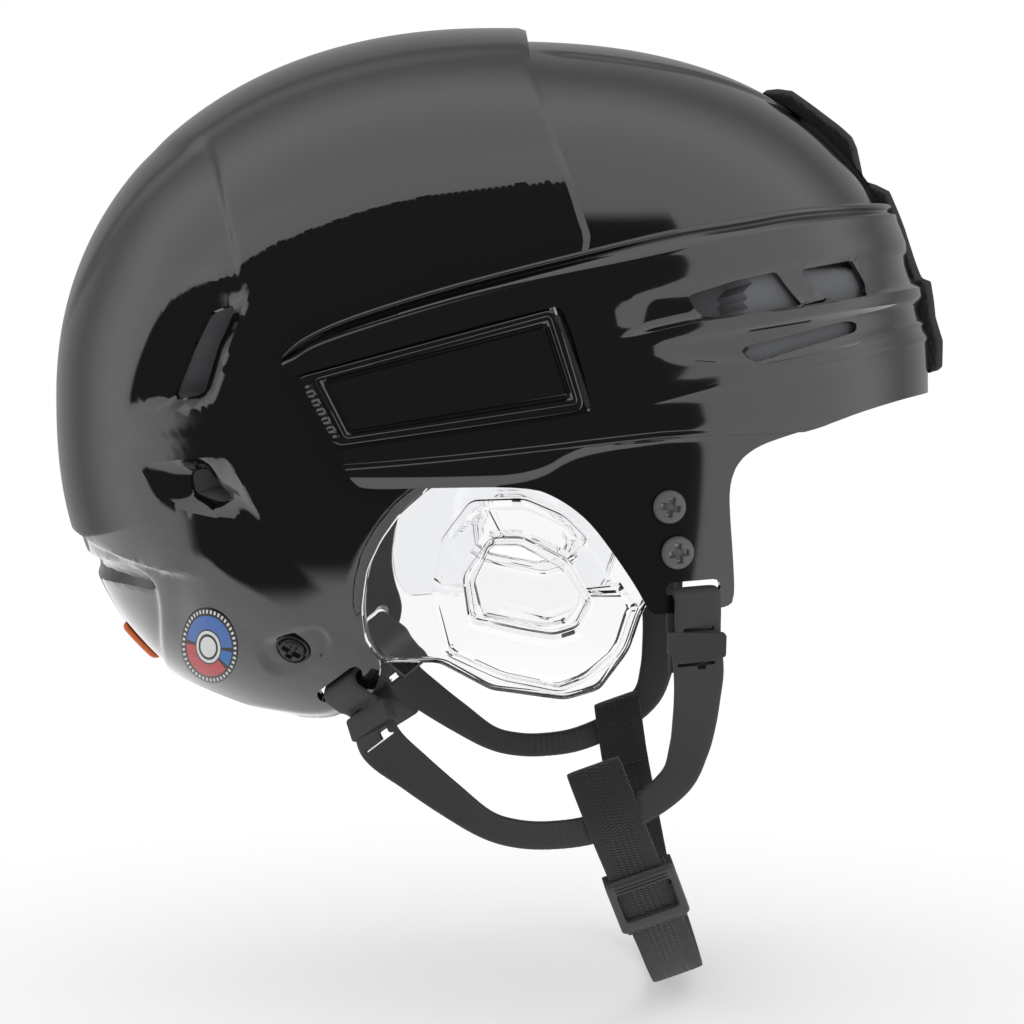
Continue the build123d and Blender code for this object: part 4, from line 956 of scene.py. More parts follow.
BROW_LINER = [(24.7, 92), (42, 98), (77.1, 104.4), (144.5, 107.9), (144.5, 58.5), (97.6, 55.1), (73.3, 47.9),
              (53, 43.6), (24.7, 43.6)]
CROWN_LINER = [(-33.8, 110.3), (3.6, 97.3), (3.6, 44.5), (21.2, 44.5), (21.2, 95), (42, 101.4), (77.1, 107.9),
               (144.5, 111.4), (144.5, 180.8), (-33.8, 180.8)]
REAR_LINER = [(-38.7, 92.7), (-38.7, 51.5), (-58.5, 43.2), (-72.5, 16.2), (-80.9, 3.0), (-165.5, 3.0),
              (-165.5, 92.7)]
REAR_CROWN_LINER = [(-39.5, 96.1), (-165.5, 96.1), (-165.5, 180.8), (-39.5, 180.8)]
BROW_PAD = [(65.2, 86.8), (144.5, 86.8), (144.5, 60.9), (98, 58.5), (69.5, 51.9)]
TEMPLE_PAD = [(7.0, 86.3), (56.8, 86.3), (59.2, 51.9), (45.9, 47.3), (7.0, 47.3)]
LINER_EDGE = 5.0           # radius of the foam's inner edges
CHANNEL_DEPTH = 2.6
CHANNEL_HALF_WIDTH = 4.5
CHANNEL_SPACING = 36
MIDDLE_CHANNEL = 27        # from the middle plane
PAD_LAYER = LINER_DOME - 0.4
PAD_RIM = 2.2
PAD_SEAM = 1.6
PAD_SWELL = 13.0           # from the seam to the crown
PAD_THICKNESS = 7.8
NAPE_PAD_THICKNESS = 7.4


def outlined(points, rounds=1):
    """A keep function: negative inside a side-view outline."""
    return from_side(outline(points, rounds))


def liner_inner(keep):
    """The inner face of a foam liner: the liner's inner dome with edges rounded by a quarter circle over
    5 mm, and shallow round-bottomed channels beside the middle and across the sides."""
    def inner(points, ways, radius):
        x, y, z = points.T
        edge = np.clip(-keep(points), 0, LINER_EDGE)
        rounding = LINER_EDGE - np.sqrt(np.maximum(LINER_EDGE ** 2 - (LINER_EDGE - edge) ** 2, 0))
        half = CHANNEL_SPACING // 2
        across = np.where(z < 100, np.abs((x + half) % CHANNEL_SPACING - half), 99)
        lines = np.minimum(np.abs(np.abs(y) - MIDDLE_CHANNEL), across)
        channel = CHANNEL_DEPTH * (1 - np.clip(lines / CHANNEL_HALF_WIDTH, 0, 1) ** 2)
        return dome_radius(ways, LINER_DOME) + np.minimum(rounding + channel, 6)
    return inner


def pad_inner(keep, thick):
    """The inner face of a pad: a flat sewn rim 2.2 mm wide, then a crown that swells by the root of
    1 - (1 - t)^2, with t the share of 13 mm from the seam."""
    def inner(points, ways, radius):
        edge = -keep(points)
        share = np.clip((edge - PAD_RIM) / PAD_SWELL, 0, 1)
        seam = 1.1 + 0.5 * ramp(edge, 0, 0.9)
        return radius - seam - (thick - PAD_SEAM) * np.sqrt(1 - (1 - share) ** 2)
    return inner


def foam_piece(name, body, node, keep, dome, relief=level(), thick=None, step=1.0, way=None):
    """A foam liner between a dome and its own inner face, or a pad where it is told how thick."""
    foam = thick is None
    made = shell_piece(name, foam_grey if foam else pad_black, way or front_way(step, step),
                       (int(122 / step), int(337 / step)), dome, keep, relief, 0.4,
                       folds=() if foam else [lambda points: keep(points) + PAD_RIM],
                       inner=liner_inner(keep) if foam else pad_inner(keep, thick))
    stand_in(merged(made), body, node)


def brow_seat(points, places):
    """The brow liner's outer face keeps under the band, and under the crown near its top."""
    ways = unit(points - DOME_MIDDLE)
    gap = np.minimum(dome_radius(ways, CROWN_DOME - 3.3) - dome_radius(ways, BAND_DOME - 4.7), 0)
    near = np.maximum(ramp(points[:, 2], 91, 95), 1 - ramp(np.abs(points[:, 1]), 26, 28) + (points[:, 0] < 60))
    return gap * np.minimum(near, 1)


def rear_seat(points, places):
    """The rear liners' outer face follows the recesses in the shell over them."""
    ways = unit(points - DOME_MIDDLE)
    over = DOME_MIDDLE + ways * dome_radius(ways, REAR_DOME)[:, None]
    return np.minimum(rear_relief(over, places), 0) - 0.7


def rear_liner_keep(points):
    """Negative where the rear liner is: inside its outline, with both vents running on through it."""
    x, z = points[..., 0], points[..., 2]
    return np.maximum(rear_liner_shape(x, z), -np.minimum(rear_hole(x, z), low_hole(x, z)))


def middle_pad(centre, half_along, half_across, corner):
    """A keep function for a pad on the top of the head: a rounded rectangle seen from above."""
    def keep(points):
        inside = box_distance(points[..., 0] - centre, points[..., 1], half_along, half_across, corner)
        return np.where(points[..., 2] > 100, inside, 60.0)
    return keep


def rear_pad_keep(points):
    """Negative where the rear pad is: a rounded rectangle seen from behind."""
    inside = box_distance(points[..., 1], points[..., 2] - 54.5, 41.5, 31.8, 9.0)
    return np.where(points[..., 0] < -60, inside, 60.0)


def side_pad_keep(sign):
    """A keep function for one temple pad."""
    shape = outlined(TEMPLE_PAD, 2)
    return lambda points: np.where(points[..., 1] * sign > 0, shape(points), 60.0)


def nape_pad_keep(points):
    """Negative where the nape pad is: a rounded rectangle about the nape."""
    return nape_distance(points, 40.0, 12.2, 7.0)


rear_liner_shape = outline(REAR_LINER, 1)
for name, body, node, keep, dome, relief in (
        ("brow_foam", "front", "brow_liner", outlined(BROW_LINER), BAND_DOME - 4.7, brow_seat),
        ("crown_foam", "front", "crown_liner", outlined(CROWN_LINER), CROWN_DOME - 3.3, level()),
        ("rear_crown_foam", "rear", "rear_crown_liner", outlined(REAR_CROWN_LINER), REAR_DOME - 2.9, rear_seat),
        ("rear_foam", "rear", "rear_liner", rear_liner_keep, REAR_DOME - 2.9, rear_seat)):
    foam_piece(name, body, node, keep, dome, relief)
for name, body, node, keep in (
        ("brow_comfort_pad", "front", "brow_pad", outlined(BROW_PAD, 2)),
        ("crown_comfort_pad", "front", "crown_pad", middle_pad(17.6, 40.0, 33.0, 12.0)),
        ("rear_comfort_pad", "rear", "rear_pad", rear_pad_keep),
        ("right_temple_comfort_pad", "front", "right_temple_pad", side_pad_keep(-1)),
        ("left_temple_comfort_pad", "front", "left_temple_pad", side_pad_keep(1))):
    foam_piece(name, body, node, keep, PAD_LAYER, thick=PAD_THICKNESS)
foam_piece("nape_comfort_pad", "occipital", "occipital_pad", nape_pad_keep, REAR_DOME - 10.6,
           thick=NAPE_PAD_THICKNESS, step=0.9, way=rear_way)

# Clear ear guards

GUARD_DOME = BAND_DOME - 2.8
GUARD_WALL = 1.6
GUARD_RIB_RISE = 0.4
GUARD_RIB_REACH = 3.2      # degrees round the ear hole to each side
clear, _, clear_shader = new_material("clear")
for label, value in (("Base Color", (0.97, 0.975, 0.985, 1)), ("Roughness", 0.015), ("IOR", 1.5),
                     ("Transmission Weight", 1.0)):
    clear_shader.inputs[label].default_value = value


def ray_reach(line, angle):
    """How far a ray from the hole's middle runs to a closed outline round it, for each angle."""
    start = line - GUARD_MIDDLE
    run = np.roll(line, -1, axis=0) - line
    way = np.stack([np.cos(angle), np.sin(angle)], -1)[:, None]
    cross = way[..., 0] * run[:, 1] - way[..., 1] * run[:, 0]
    cross = np.where(np.abs(cross) < 1e-9, 1e-9, cross)
    reach = (start[:, 0] * run[:, 1] - start[:, 1] * run[:, 0]) / cross
    share = (start[:, 0] * way[..., 1] - start[:, 1] * way[..., 0]) / cross
    fits = (share >= -1e-6) & (share <= 1 + 1e-6) & (reach > 0)
    return np.where(fits, reach, 0).max(1)


GUARD_MIDDLE = np.array([0.5, 0.8])
GUARD_ROWS = [("hole", 0.0, -0.3), ("hole", 0.3, 0.2), ("hole", 0.7, 0.3), ("rim", -0.5, 0.3),
              ("rim", 0.1, -0.5), ("rim", 0.7, -0.5), ("rim", 1.3, 0.8), ("rim", 2.2, 1.1),
              ("boss", -3.6, 0.8), ("boss", -2.6, 0.7), ("boss", -2.2, 0.5), ("boss", -0.2, -0.7),
              ("boss", 0.5, -0.75), ("edge", -1.2, -0.4), ("edge", -0.4, -0.45), ("edge", 0.0, -1.0)]
GUARD_RIBS = [(-11.0, 23.0), (15.0, 14.5), (24.5, 1.0), (-24.5, 3.5)]


def clear_guard(sign):
    """A clear guard as rings round the ear hole. Each ring lies at a distance from the hole's, the rim's,
    the boss's or the edge's outline and at its own stand off the dome, and five more rings lie evenly in
    each wide gap. Four narrow ribs run out from the rim, each falling straight from its middle."""
    ribs = np.array([math.atan2(z - GUARD_MIDDLE[1], x - GUARD_MIDDLE[0]) for x, z in GUARD_RIBS])
    even = np.linspace(-math.pi, math.pi, 300, endpoint=False)
    beside = [ribs + math.radians(away) for away in (-GUARD_RIB_REACH, -1.2, 0.0, 1.2, GUARD_RIB_REACH)]
    angle = np.sort(np.concatenate([even, *beside]))
    reach = {name: ray_reach(eased_corners(points, round_off), angle) for name, points, round_off in (
        ("hole", GUARD_HOLE, 1.6), ("rim", GUARD_RIM, 1.9), ("boss", GUARD_BOSS, 2.2),
        ("edge", GUARD_OUTLINE, 2.2))}
    reach["boss"] = np.minimum(reach["boss"], reach["edge"] - 1.9)
    rib = GUARD_RIB_RISE * tent(np.abs(angle[:, None] - ribs).min(1), math.radians(GUARD_RIB_REACH))
    far = [np.minimum(reach[name] + away, reach["edge"]) for name, away, _ in GUARD_ROWS]
    on_rib = range(6, 11)
    stand = [value + rib * (index in on_rib) for index, (_, _, value) in enumerate(GUARD_ROWS)]
    rows, stands = [], []
    for index in range(len(far) - 1):
        steps = 6 if GUARD_ROWS[index][0] != GUARD_ROWS[index + 1][0] else 1
        for step in range(steps):
            rows.append(far[index] + (far[index + 1] - far[index]) * step / steps)
            stands.append(stand[index] + (stand[index + 1] - stand[index]) * step / steps)
    rows, stands = np.maximum.accumulate(np.stack(rows + far[-1:]), axis=0), np.stack(stands + stand[-1:])
    x = GUARD_MIDDLE[0] + rows * np.cos(angle)
    z = GUARD_MIDDLE[1] + rows * np.sin(angle)
    outside, inside = on_side(x, z, GUARD_DOME, sign, stands, stands - GUARD_WALL)
    rings = np.concatenate([outside, inside[::-1], outside[:1]])
    return rings.reshape(-1, 3), tube_faces(len(rings), len(angle))


for side, sign in SIDES.items():
    set_piece(side + "_clear_guard", [clear_guard(sign)], clear, "front", side + "_ear_guard", 24.0)

# Chin loops

SLOTS = {
    "front": (np.array([46.416, -98.968, 0.555]), np.array([0.9638, 0.2599, 0.0592]),
              np.array([0.2661, -0.9501, -0.1625]), BAND_DOME),
    "rear": (np.array([-55.108, -74.286, -29.058]), np.array([0.6593, -0.5810, 0.4774]),
             np.array([-0.1663, -0.7318, -0.6610]), REAR_DOME)}
LOOP_MIDDLE = [(46.9, -99.4, -15.0), (47.6, -97.2, -22.3), (47.4, -94.8, -29.5), (46.8, -92.5, -36.9),
               (45.4, -90.2, -45.3), (41.9, -88.4, -54.5), (32.2, -86.9, -62.9), (18.5, -86.0, -69.1),
               (6.2, -85.3, -71.1), (-4.2, -84.5, -70.7), (-13.1, -83.2, -68.0), (-23.6, -81.3, -61.0),
               (-33.5, -78.9, -53.7), (-42.9, -76.7, -46.0)]
LOOP_WIDTHS = [14.2, 14.2, 13.3, 12.6, 11.4, 9.8, 8.6, 8.2, 8.0, 8.0, 8.2, 10.2, 11.8, 13.6]
LOOP_WALLS = [2.2, 2.5, 2.9, 3.3, 3.7, 4.0, 4.0, 4.0, 4.0, 4.0, 3.8, 3.3, 2.8, 2.4]


def below_dome(origin, x_way, z_way, dome, ahead, up):
    """How far a dome curves away below a plane that touches it, found by halving."""
    y_way = np.cross(z_way, x_way)
    place = origin + y_way * up + x_way * ahead - DOME_MIDDLE
    low, high = 0.0, 50.0
    for _ in range(24):
        depth = (low + high) / 2
        way = place - z_way * depth
        inside = np.linalg.norm(way) < dome_radius(way / np.linalg.norm(way), dome)
        low, high = (low, depth) if inside else (depth, high)
    return high


def hook_stations(name):
    """A loop end's stations: from the tongue inside the shell, out through the slot in a half circle
    and down the outside, each with its place, the way its width points, its width and its wall."""
    origin, x_way, z_way, dome = SLOTS[name]
    y_way = np.cross(z_way, x_way)
    turn = 1 if name == "front" else -1
    outside, middle, edge = 2.2, -1.25, -2.1
    flat = [(-24.0, middle - outside), (-15.5, middle - outside)]
    for up in (-11.5, -7.0, edge):
        curve = max(below_dome(origin, x_way, z_way, dome, side * 6.5, up) for side in (-1, 1))
        flat.append((up, -2.5 - outside - curve))
    for angle in (150, 120, 90, 60, 30):
        flat.append((edge + outside * math.sin(math.radians(angle)),
                     middle + (outside - middle) * math.cos(math.radians(angle))))
    flat += [(edge, outside), (-6.0, outside + 0.1), (-11.5, outside)]
    return [(origin + y_way * up + z_way * out, x_way * turn, 13.6, 2.0) for up, out in flat]


def loop_path(side_sign):
    """Every station of one loop as arrays: places, width ways, widths and walls, eased between by
    Catmull-Rom splines with eight steps to each run."""
    middle = []
    spots = [np.array(spot, float) for spot in LOOP_MIDDLE]
    for index, spot in enumerate(spots):
        run = spots[min(index + 1, len(spots) - 1)] - spots[max(index - 1, 0)]
        across = np.cross([0, -1.0, 0], run)
        middle.append((spot, unit(across), LOOP_WIDTHS[index], LOOP_WALLS[index]))
    stations = hook_stations("front") + middle + list(reversed(hook_stations("rear")))
    table = np.array([np.concatenate([place, way, [width, wall]]) for place, way, width, wall in stations])
    table[:, [1, 4]] *= -side_sign
    return eased(table, 8)


def eased(table, steps):
    """Rows eased between by Catmull-Rom splines: each value is a cubic in the share of its run, with
    slopes from the rows on both sides."""
    padded = np.vstack([2 * table[0] - table[1], table, 2 * table[-1] - table[-2]])
    before, start, end, after = padded[:-3], padded[1:-2], padded[2:-1], padded[3:]
    share = (np.arange(steps) / steps)[None, :, None]
    before, start, end, after = (rows[:, None] for rows in (before, start, end, after))
    rows = 0.5 * (2 * start + (end - before) * share + (2 * before - 5 * start + 4 * end - after) * share ** 2
                  + (3 * start - before - 3 * end + after) * share ** 3)
    return np.vstack([rows.reshape(-1, table.shape[1]), table[-1:]])


def swept_ribbon(places, ways, widths, walls, turns=24):
    """A ribbon along a path: at each station a rounded rectangle, a superellipse of power 5, as wide and
    thick as told, its width along the given way made square to the path. Ends are closed by a point."""
    along = unit(np.gradient(places, axis=0))
    across = unit(ways - along * (ways * along).sum(1)[:, None])
    out = np.cross(along, across)
    angle = np.linspace(0, 2 * math.pi, turns, endpoint=False)
    power = 2 / 5
    wide = np.sign(np.cos(angle)) * np.abs(np.cos(angle)) ** power
    thick = np.sign(np.sin(angle)) * np.abs(np.sin(angle)) ** power
    rings = (places[:, None] + across[:, None] * (wide[None, :, None] * widths[:, None, None] / 2)
             + out[:, None] * (thick[None, :, None] * walls[:, None, None] / 2))
    caps = np.stack([np.repeat(places[:1], turns, 0), *rings, np.repeat(places[-1:], turns, 0)])
    return caps.reshape(-1, 3), tube_faces(len(caps), turns)


def evenly(path, step=None, count=None):
    """The path's rows at even distances along it, by a step or a count, and those distances."""
    length = np.concatenate([[0], np.cumsum(np.linalg.norm(np.diff(path[:, :3], axis=0), axis=1))])
    even = np.linspace(0, length[-1], count or int(length[-1] / step) + 1)
    return np.stack([np.interp(even, length, column) for column in path.T], -1), even


def prism(middle, wide, tall, deep, half_wide, half_tall, half_deep, corner):
    """A rounded-rectangle prism about a point: half sizes along three square ways."""
    ring = rounded_ring(2 * half_wide, 2 * half_tall, 0, corner, (4, 1, 1))
    flat = middle + ring[:, :1] * wide + ring[:, 1:] * tall
    rings = np.stack([np.tile(middle - deep * half_deep, (len(ring), 1)), flat - deep * half_deep,
                      flat + deep * half_deep, np.tile(middle + deep * half_deep, (len(ring), 1))])
    return rings.reshape(-1, 3), tube_faces(4, len(ring))


def ribbon_frame(path, index):
    """A ribbon's place at a row, and its ways across, along and out."""
    along = unit(path[index + 1, :3] - path[index - 1, :3])
    across = unit(path[index, 3:6] - along * (path[index, 3:6] @ along))
    return path[index, :3], across, along, np.cross(along, across)


def cut_away(piece, tools):
    """The piece with closed tool shapes cut out of it one by one, each cut applied to its mesh."""
    for tool in tools:
        cutter = merged(joined("cutter", [tool], None))
        cut = piece.modifiers.new("cut", "BOOLEAN")
        cut.object, cut.solver = cutter, "EXACT"
        shaped = bpy.data.meshes.new_from_object(piece.evaluated_get(bpy.context.evaluated_depsgraph_get()))
        piece.modifiers.clear()
        piece.data = shaped
        bpy.data.objects.remove(cutter)
    return piece


def nearest_row(path, x, z, skip):
    """The row of a path nearest to a side-view place, among the rows past the hooks."""
    away = np.hypot(path[:, 0] - x, path[:, 2] - z)
    away[:skip] = away[len(path) - skip:] = 99
    return int(away.argmin())


KNURL_MIDDLE = 11.0
KNURL_REACH = 9.5
KNURL_BELOW = -60
KNURL_DEPTH = 0.32
KNURL_PITCH = 2.1
HOOK_ROWS = 62             # rows of a loop's path at each end that lie in its hook
KEEPERS = [(47.0, -14.4, 3.4, 1.1), (-48.2, -40.6, 3.6, 1.0)]     # X, Z, half length and extra half width
LOOP_SLITS = [(47.0, -9.6, 4.6, 0.6, 0.0), (46.9, -19.6, 5.4, 0.5, -0.6), (46.9, -19.9, 1.2, 1.2, 0.9),
              (-44.0, -46.3, 5.2, 0.5, 0.0), (-49.6, -37.8, 1.2, 1.2, 1.2), (-42.6, -43.4, 1.6, 1.4, -2.6)]

for side, sign in SIDES.items():
    path, far_along = evenly(loop_path(sign), step=0.5)
    knurl = (np.abs(path[:, 0] - KNURL_MIDDLE) < KNURL_REACH) & (path[:, 2] < KNURL_BELOW)
    ripple = KNURL_DEPTH * np.cos(far_along * 2 * math.pi / KNURL_PITCH) * knurl
    body = swept_ribbon(path[:, :3], path[:, 3:6], path[:, 6], path[:, 7] + ripple)
    loop = merged(joined(side + "_loop", [body], loop_grey))
    tools = []
    for x, z, half_wide, half_tall, across_by in LOOP_SLITS:
        middle, across, along, out = ribbon_frame(path, nearest_row(path, x, z, HOOK_ROWS))
        middle = middle + across * across_by * -sign
        tools.append(prism(middle, across, along, out, half_wide, half_tall, 4.0, 0.45))
    cut_away(loop, tools)
    bands = []
    for x, z, half_tall, wider in KEEPERS:
        row = nearest_row(path, x, z, HOOK_ROWS)
        half_wide, half_deep = path[row, 6] / 2 + wider, path[row, 7] / 2 + 1.0
        bands.append(prism(*ribbon_frame(path, row), half_wide, half_tall, half_deep, 0.9))
    keeper = merged(joined(side + "_loop_keepers", bands, loop_grey))
    bevel = keeper.modifiers.new("edges", "BEVEL")
    bevel.width, bevel.segments, bevel.limit_method = 0.5 * MM, 2, "ANGLE"
    for piece in (finish_edges(loop, 40.0), finish_edges(keeper, 40.0)):
        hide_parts(side + "_chin_loop")
        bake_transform(piece)

# Chin strap and buckle

STRAP_ORIGIN = np.array([19.774, 0.0, -50.496])
STRAP_DOWN = np.array([0.3371, 0.0, -0.9415])
STRAP_FACE = np.array([0.9415, 0.0, 0.3371])
STRAP_POINTS = [(82.27, 28.5), (82.81, 21.0), (82.81, 0.75), (90.11, 0.75), (90.11, 21.0), (58.79, 64.2),
                (31.13, 81.0)]


def strap_path():
    """The strap's line in its leaning plane: side distance and fall, rounded by corner cutting and
    evenly spaced, from one sewn end over its bar, down, and up to the other, and its distances."""
    points = [(-x, y) for x, y in STRAP_POINTS] + [(x, y) for x, y in reversed(STRAP_POINTS)]
    return evenly(chaikin(points, 3, closed=False), count=420)


def lay_uv(piece, values):
    """Gives the piece a UV map from one pair of values per point."""
    corner = np.zeros(len(piece.data.loops), np.int32)
    piece.data.loops.foreach_get("vertex_index", corner)
    layer = piece.data.uv_layers.new(name="lay")
    layer.data.foreach_set("uv", np.asarray(values, np.float32)[corner].ravel())


STRAP_WIDTH = 16.0
STRAP_THICKNESS = 1.5
STRAP_TURNS = 32
STRAP_DRIFT_LEFT = 9.9     # forwards at the top of the strap's left side
STRAP_DRIFT_RIGHT = -1.8
STRAP_DROP_LEFT = 4.5

strap_line, strap_length = strap_path()
on_left = strap_line[:, 0] > 0
strap_rise = np.clip(1 - strap_line[:, 1] / 60.0, 0, 1)
strap_line[:, 1] += STRAP_DROP_LEFT * np.clip(1 - strap_line[:, 1] / 24.0, 0, 1) * on_left
strap_drift = strap_rise * np.where(on_left, STRAP_DRIFT_LEFT, STRAP_DRIFT_RIGHT)
strap_places = (STRAP_ORIGIN + strap_line[:, :1] * np.array([0, 1.0, 0]) + strap_line[:, 1:] * STRAP_DOWN
                + strap_drift[:, None] * np.array([1.0, 0, 0]))
stations = np.ones(len(strap_places))
strap_mesh = swept_ribbon(strap_places, stations[:, None] * STRAP_FACE, stations * STRAP_WIDTH,
                          stations * STRAP_THICKNESS, STRAP_TURNS)
strap = joined("strap_webbing", [strap_mesh], webbing_black)
ring_across = STRAP_WIDTH / 2 * np.cos(np.linspace(0, 2 * math.pi, STRAP_TURNS, endpoint=False))
ring_length = np.concatenate([strap_length[:1], strap_length, strap_length[-1:]])
lay_uv(strap, np.stack([np.tile(ring_across, len(ring_length)), np.repeat(ring_length, STRAP_TURNS)], -1))
stand_in(merged(strap), "front", "chin_strap")

BUCKLE_MIDDLE = np.array([34.222, -74.262, -90.847])
BUCKLE_WIDE = np.array([0.9415, 0.0, 0.3371])
BUCKLE_TALL = np.array([0.2729, 0.5870, -0.7622])
BUCKLE_OUT = np.array([0.1979, -0.8096, -0.5526])


def buckle_place(points):
    """Places in the buckle's own frame, across, down and out, as places in the part's frame."""
    points = np.atleast_2d(np.asarray(points, float))
    return BUCKLE_MIDDLE + points @ np.stack([BUCKLE_WIDE, BUCKLE_TALL, BUCKLE_OUT])


BUCKLE_FACE = (21.1, 22.0)
BUCKLE_WINDOW = (16.4, 12.8)
BUCKLE_RINGS = [(BUCKLE_FACE, 0.0, 0.9), (BUCKLE_FACE, 0.0, 1.9), (BUCKLE_FACE, 0.35, 2.35),
                (BUCKLE_FACE, 0.9, 2.55), (BUCKLE_WINDOW, -0.5, 2.55), (BUCKLE_WINDOW, -0.15, 2.4),
                (BUCKLE_WINDOW, 0.0, 2.1), (BUCKLE_WINDOW, 0.0, 0.9), (BUCKLE_FACE, 0.0, 0.9)]


def buckle_plate():
    """The buckle's face: rings from its rounded outer edge over the front to the window and back, each
    a size, an inset and a height."""
    rings = []
    for size, inset, out in BUCKLE_RINGS:
        ring = rounded_ring(*size, inset, 1.6 if size is BUCKLE_FACE else 1.2, (6, 8, 8))
        rings.append(np.column_stack([ring, np.full(len(ring), out)]))
    rings = np.stack(rings)
    return buckle_place(rings.reshape(-1, 3)), tube_faces(len(rings), rings.shape[1])


def buckle_rod(start, end, radius):
    """A rod between two places in the buckle's own frame."""
    return rod(buckle_place([start, end]), radius, 12)


buckle_parts = [buckle_plate()]
buckle_parts += [prism(buckle_place([across, 0, -0.7])[0], BUCKLE_WIDE, BUCKLE_TALL, BUCKLE_OUT,
                       1.08, 10.7, 1.85, 0.5) for across in (-9.45, 9.45)]
buckle_parts += [buckle_rod((-8.0, down, 2.5), (8.0, down, 2.5), 0.5) for down in (-10.0, -8.6, -7.2)]
buckle_parts += [buckle_rod((across, 10.9, 0.95), (across, 10.9, 2.5), 0.75)
                 for across in np.linspace(-8.4, 8.4, 8)]
buckle_parts.append(buckle_rod((-8.9, 0, -1.9), (8.9, 0, -1.9), 0.65))
set_piece("ladder_buckle", buckle_parts, buckle_grey, "buckle", "strap_buckle", 40.0)

# Fasteners

SCREWS = {"visor_screws": [((39.004, -103.593, 24.705), (0.2127, -0.9752, -0.0605), 12.0),
                           ((41.452, -101.856, 11.71), (0.2300, -0.9669, -0.1108), -8.0)],
          "rear_screws": [((-68.436, -79.422, -18.19), (-0.2462, -0.8049, -0.5399), 35.0)]}


def facing(out):
    """A unit direction and two more square to it, the first of them level."""
    out = unit(np.array(out))
    wide = unit(np.cross([0, 0, 1.0], out))
    return out, wide, np.cross(out, wide)


def screw_head(middle, out, turn, radius, spokes=80):
    """A pan head on a polar grid: a low dome with a rolled edge, and a cross recess whose arms are
    0.95 mm to each side of two square lines, 3 mm long and 1.5 mm deep."""
    out, wide, tall = facing(out)
    far, angle = np.meshgrid(np.concatenate([[0.0], np.linspace(0.22, radius, 24)]),
                             np.linspace(0, 2 * math.pi, spokes, endpoint=False), indexing="ij")
    x, y = far * np.cos(angle + math.radians(turn)), far * np.sin(angle + math.radians(turn))
    reach, arm = np.maximum(np.abs(x), np.abs(y)), np.minimum(np.abs(x), np.abs(y))
    recess = 1.5 * ramp(0.95 - arm, 0, 0.3) * ramp(3.0 - reach, 0, 0.5)
    rise = 1.25 - 0.5 * (far / radius) ** 2 - 0.75 * ramp(far, radius - 0.45, radius) - recess
    x, y = far * np.cos(angle), far * np.sin(angle)
    top = np.array(middle) + x[..., None] * wide + y[..., None] * tall + rise[..., None] * out
    base = np.tile(np.array(middle) - out * 0.9, (1, spokes, 1))
    rings = np.concatenate([top, top[-1:] - out * 0.9, base])
    return rings.reshape(-1, 3), tube_faces(len(rings), spokes)


def washer(middle, out, radius, thick):
    """A round ring of round section about a screw."""
    out, wide, tall = facing(out)
    turn, angle = np.meshgrid(np.linspace(0, 2 * math.pi, 13), np.linspace(0, 2 * math.pi, 64, endpoint=False),
                              indexing="ij")
    far, rise = radius + thick * np.cos(turn), thick * np.sin(turn)
    ring = (np.array(middle) + (far * np.cos(angle))[..., None] * wide + (far * np.sin(angle))[..., None] * tall
            + rise[..., None] * out)
    return ring.reshape(-1, 3), tube_faces(13, 64)


for name, places in SCREWS.items():
    look, body, radius = (screw_grey, "front", 4.65) if name == "visor_screws" else (screw_black, "rear", 4.0)
    parts = []
    for sign in SIDES.values():
        mirror = np.array([1, -sign, 1])
        for middle, out, turn in places:
            parts.append(screw_head(middle * mirror, out * mirror, turn, radius))
            if body == "rear":
                parts.append(washer((middle + np.array(out) * -0.2) * mirror, out * mirror, 4.75, 0.45))
    set_piece(name + "_heads", parts, look, body, name, 35.0)

# Forehead strip

STRIP_HALF_WIDTH = 16.4
STRIP_EDGE = 2.0           # radius of the scales' edges
STRIP_PROFILE = [(71.6, 145.4), (73.4, 147.6), (77.2, 148.0), (81.6, 147.4), (86.9, 143.7), (91.9, 140.0),
                 (96.4, 136.6), (100.1, 133.3), (101.7, 129.8), (102.7, 125.4), (103.7, 120.6), (104.6, 119.5),
                 (107.8, 118.5), (111.9, 116.5), (113.5, 112.9), (115.1, 109.2), (116.7, 105.1), (118.0, 101.1),
                 (119.9, 95.4), (121.5, 91.2), (122.3, 89.7), (125.0, 88.7), (126.0, 82.9), (126.6, 77.6),
                 (128.0, 73.2), (128.9, 70.4), (128.9, 67.2), (128.8, 62.4), (127.4, 60.6)]


def strip_rows():
    """The strip's middle line from the side, evenly spaced: reach and angle about the domes' middle."""
    line, _ = evenly(np.array(STRIP_PROFILE), count=150)
    x, z = line[:, 0] - DOME_MIDDLE[0], line[:, 1] - DOME_MIDDLE[2]
    return np.hypot(x, z), np.arctan2(z, x)


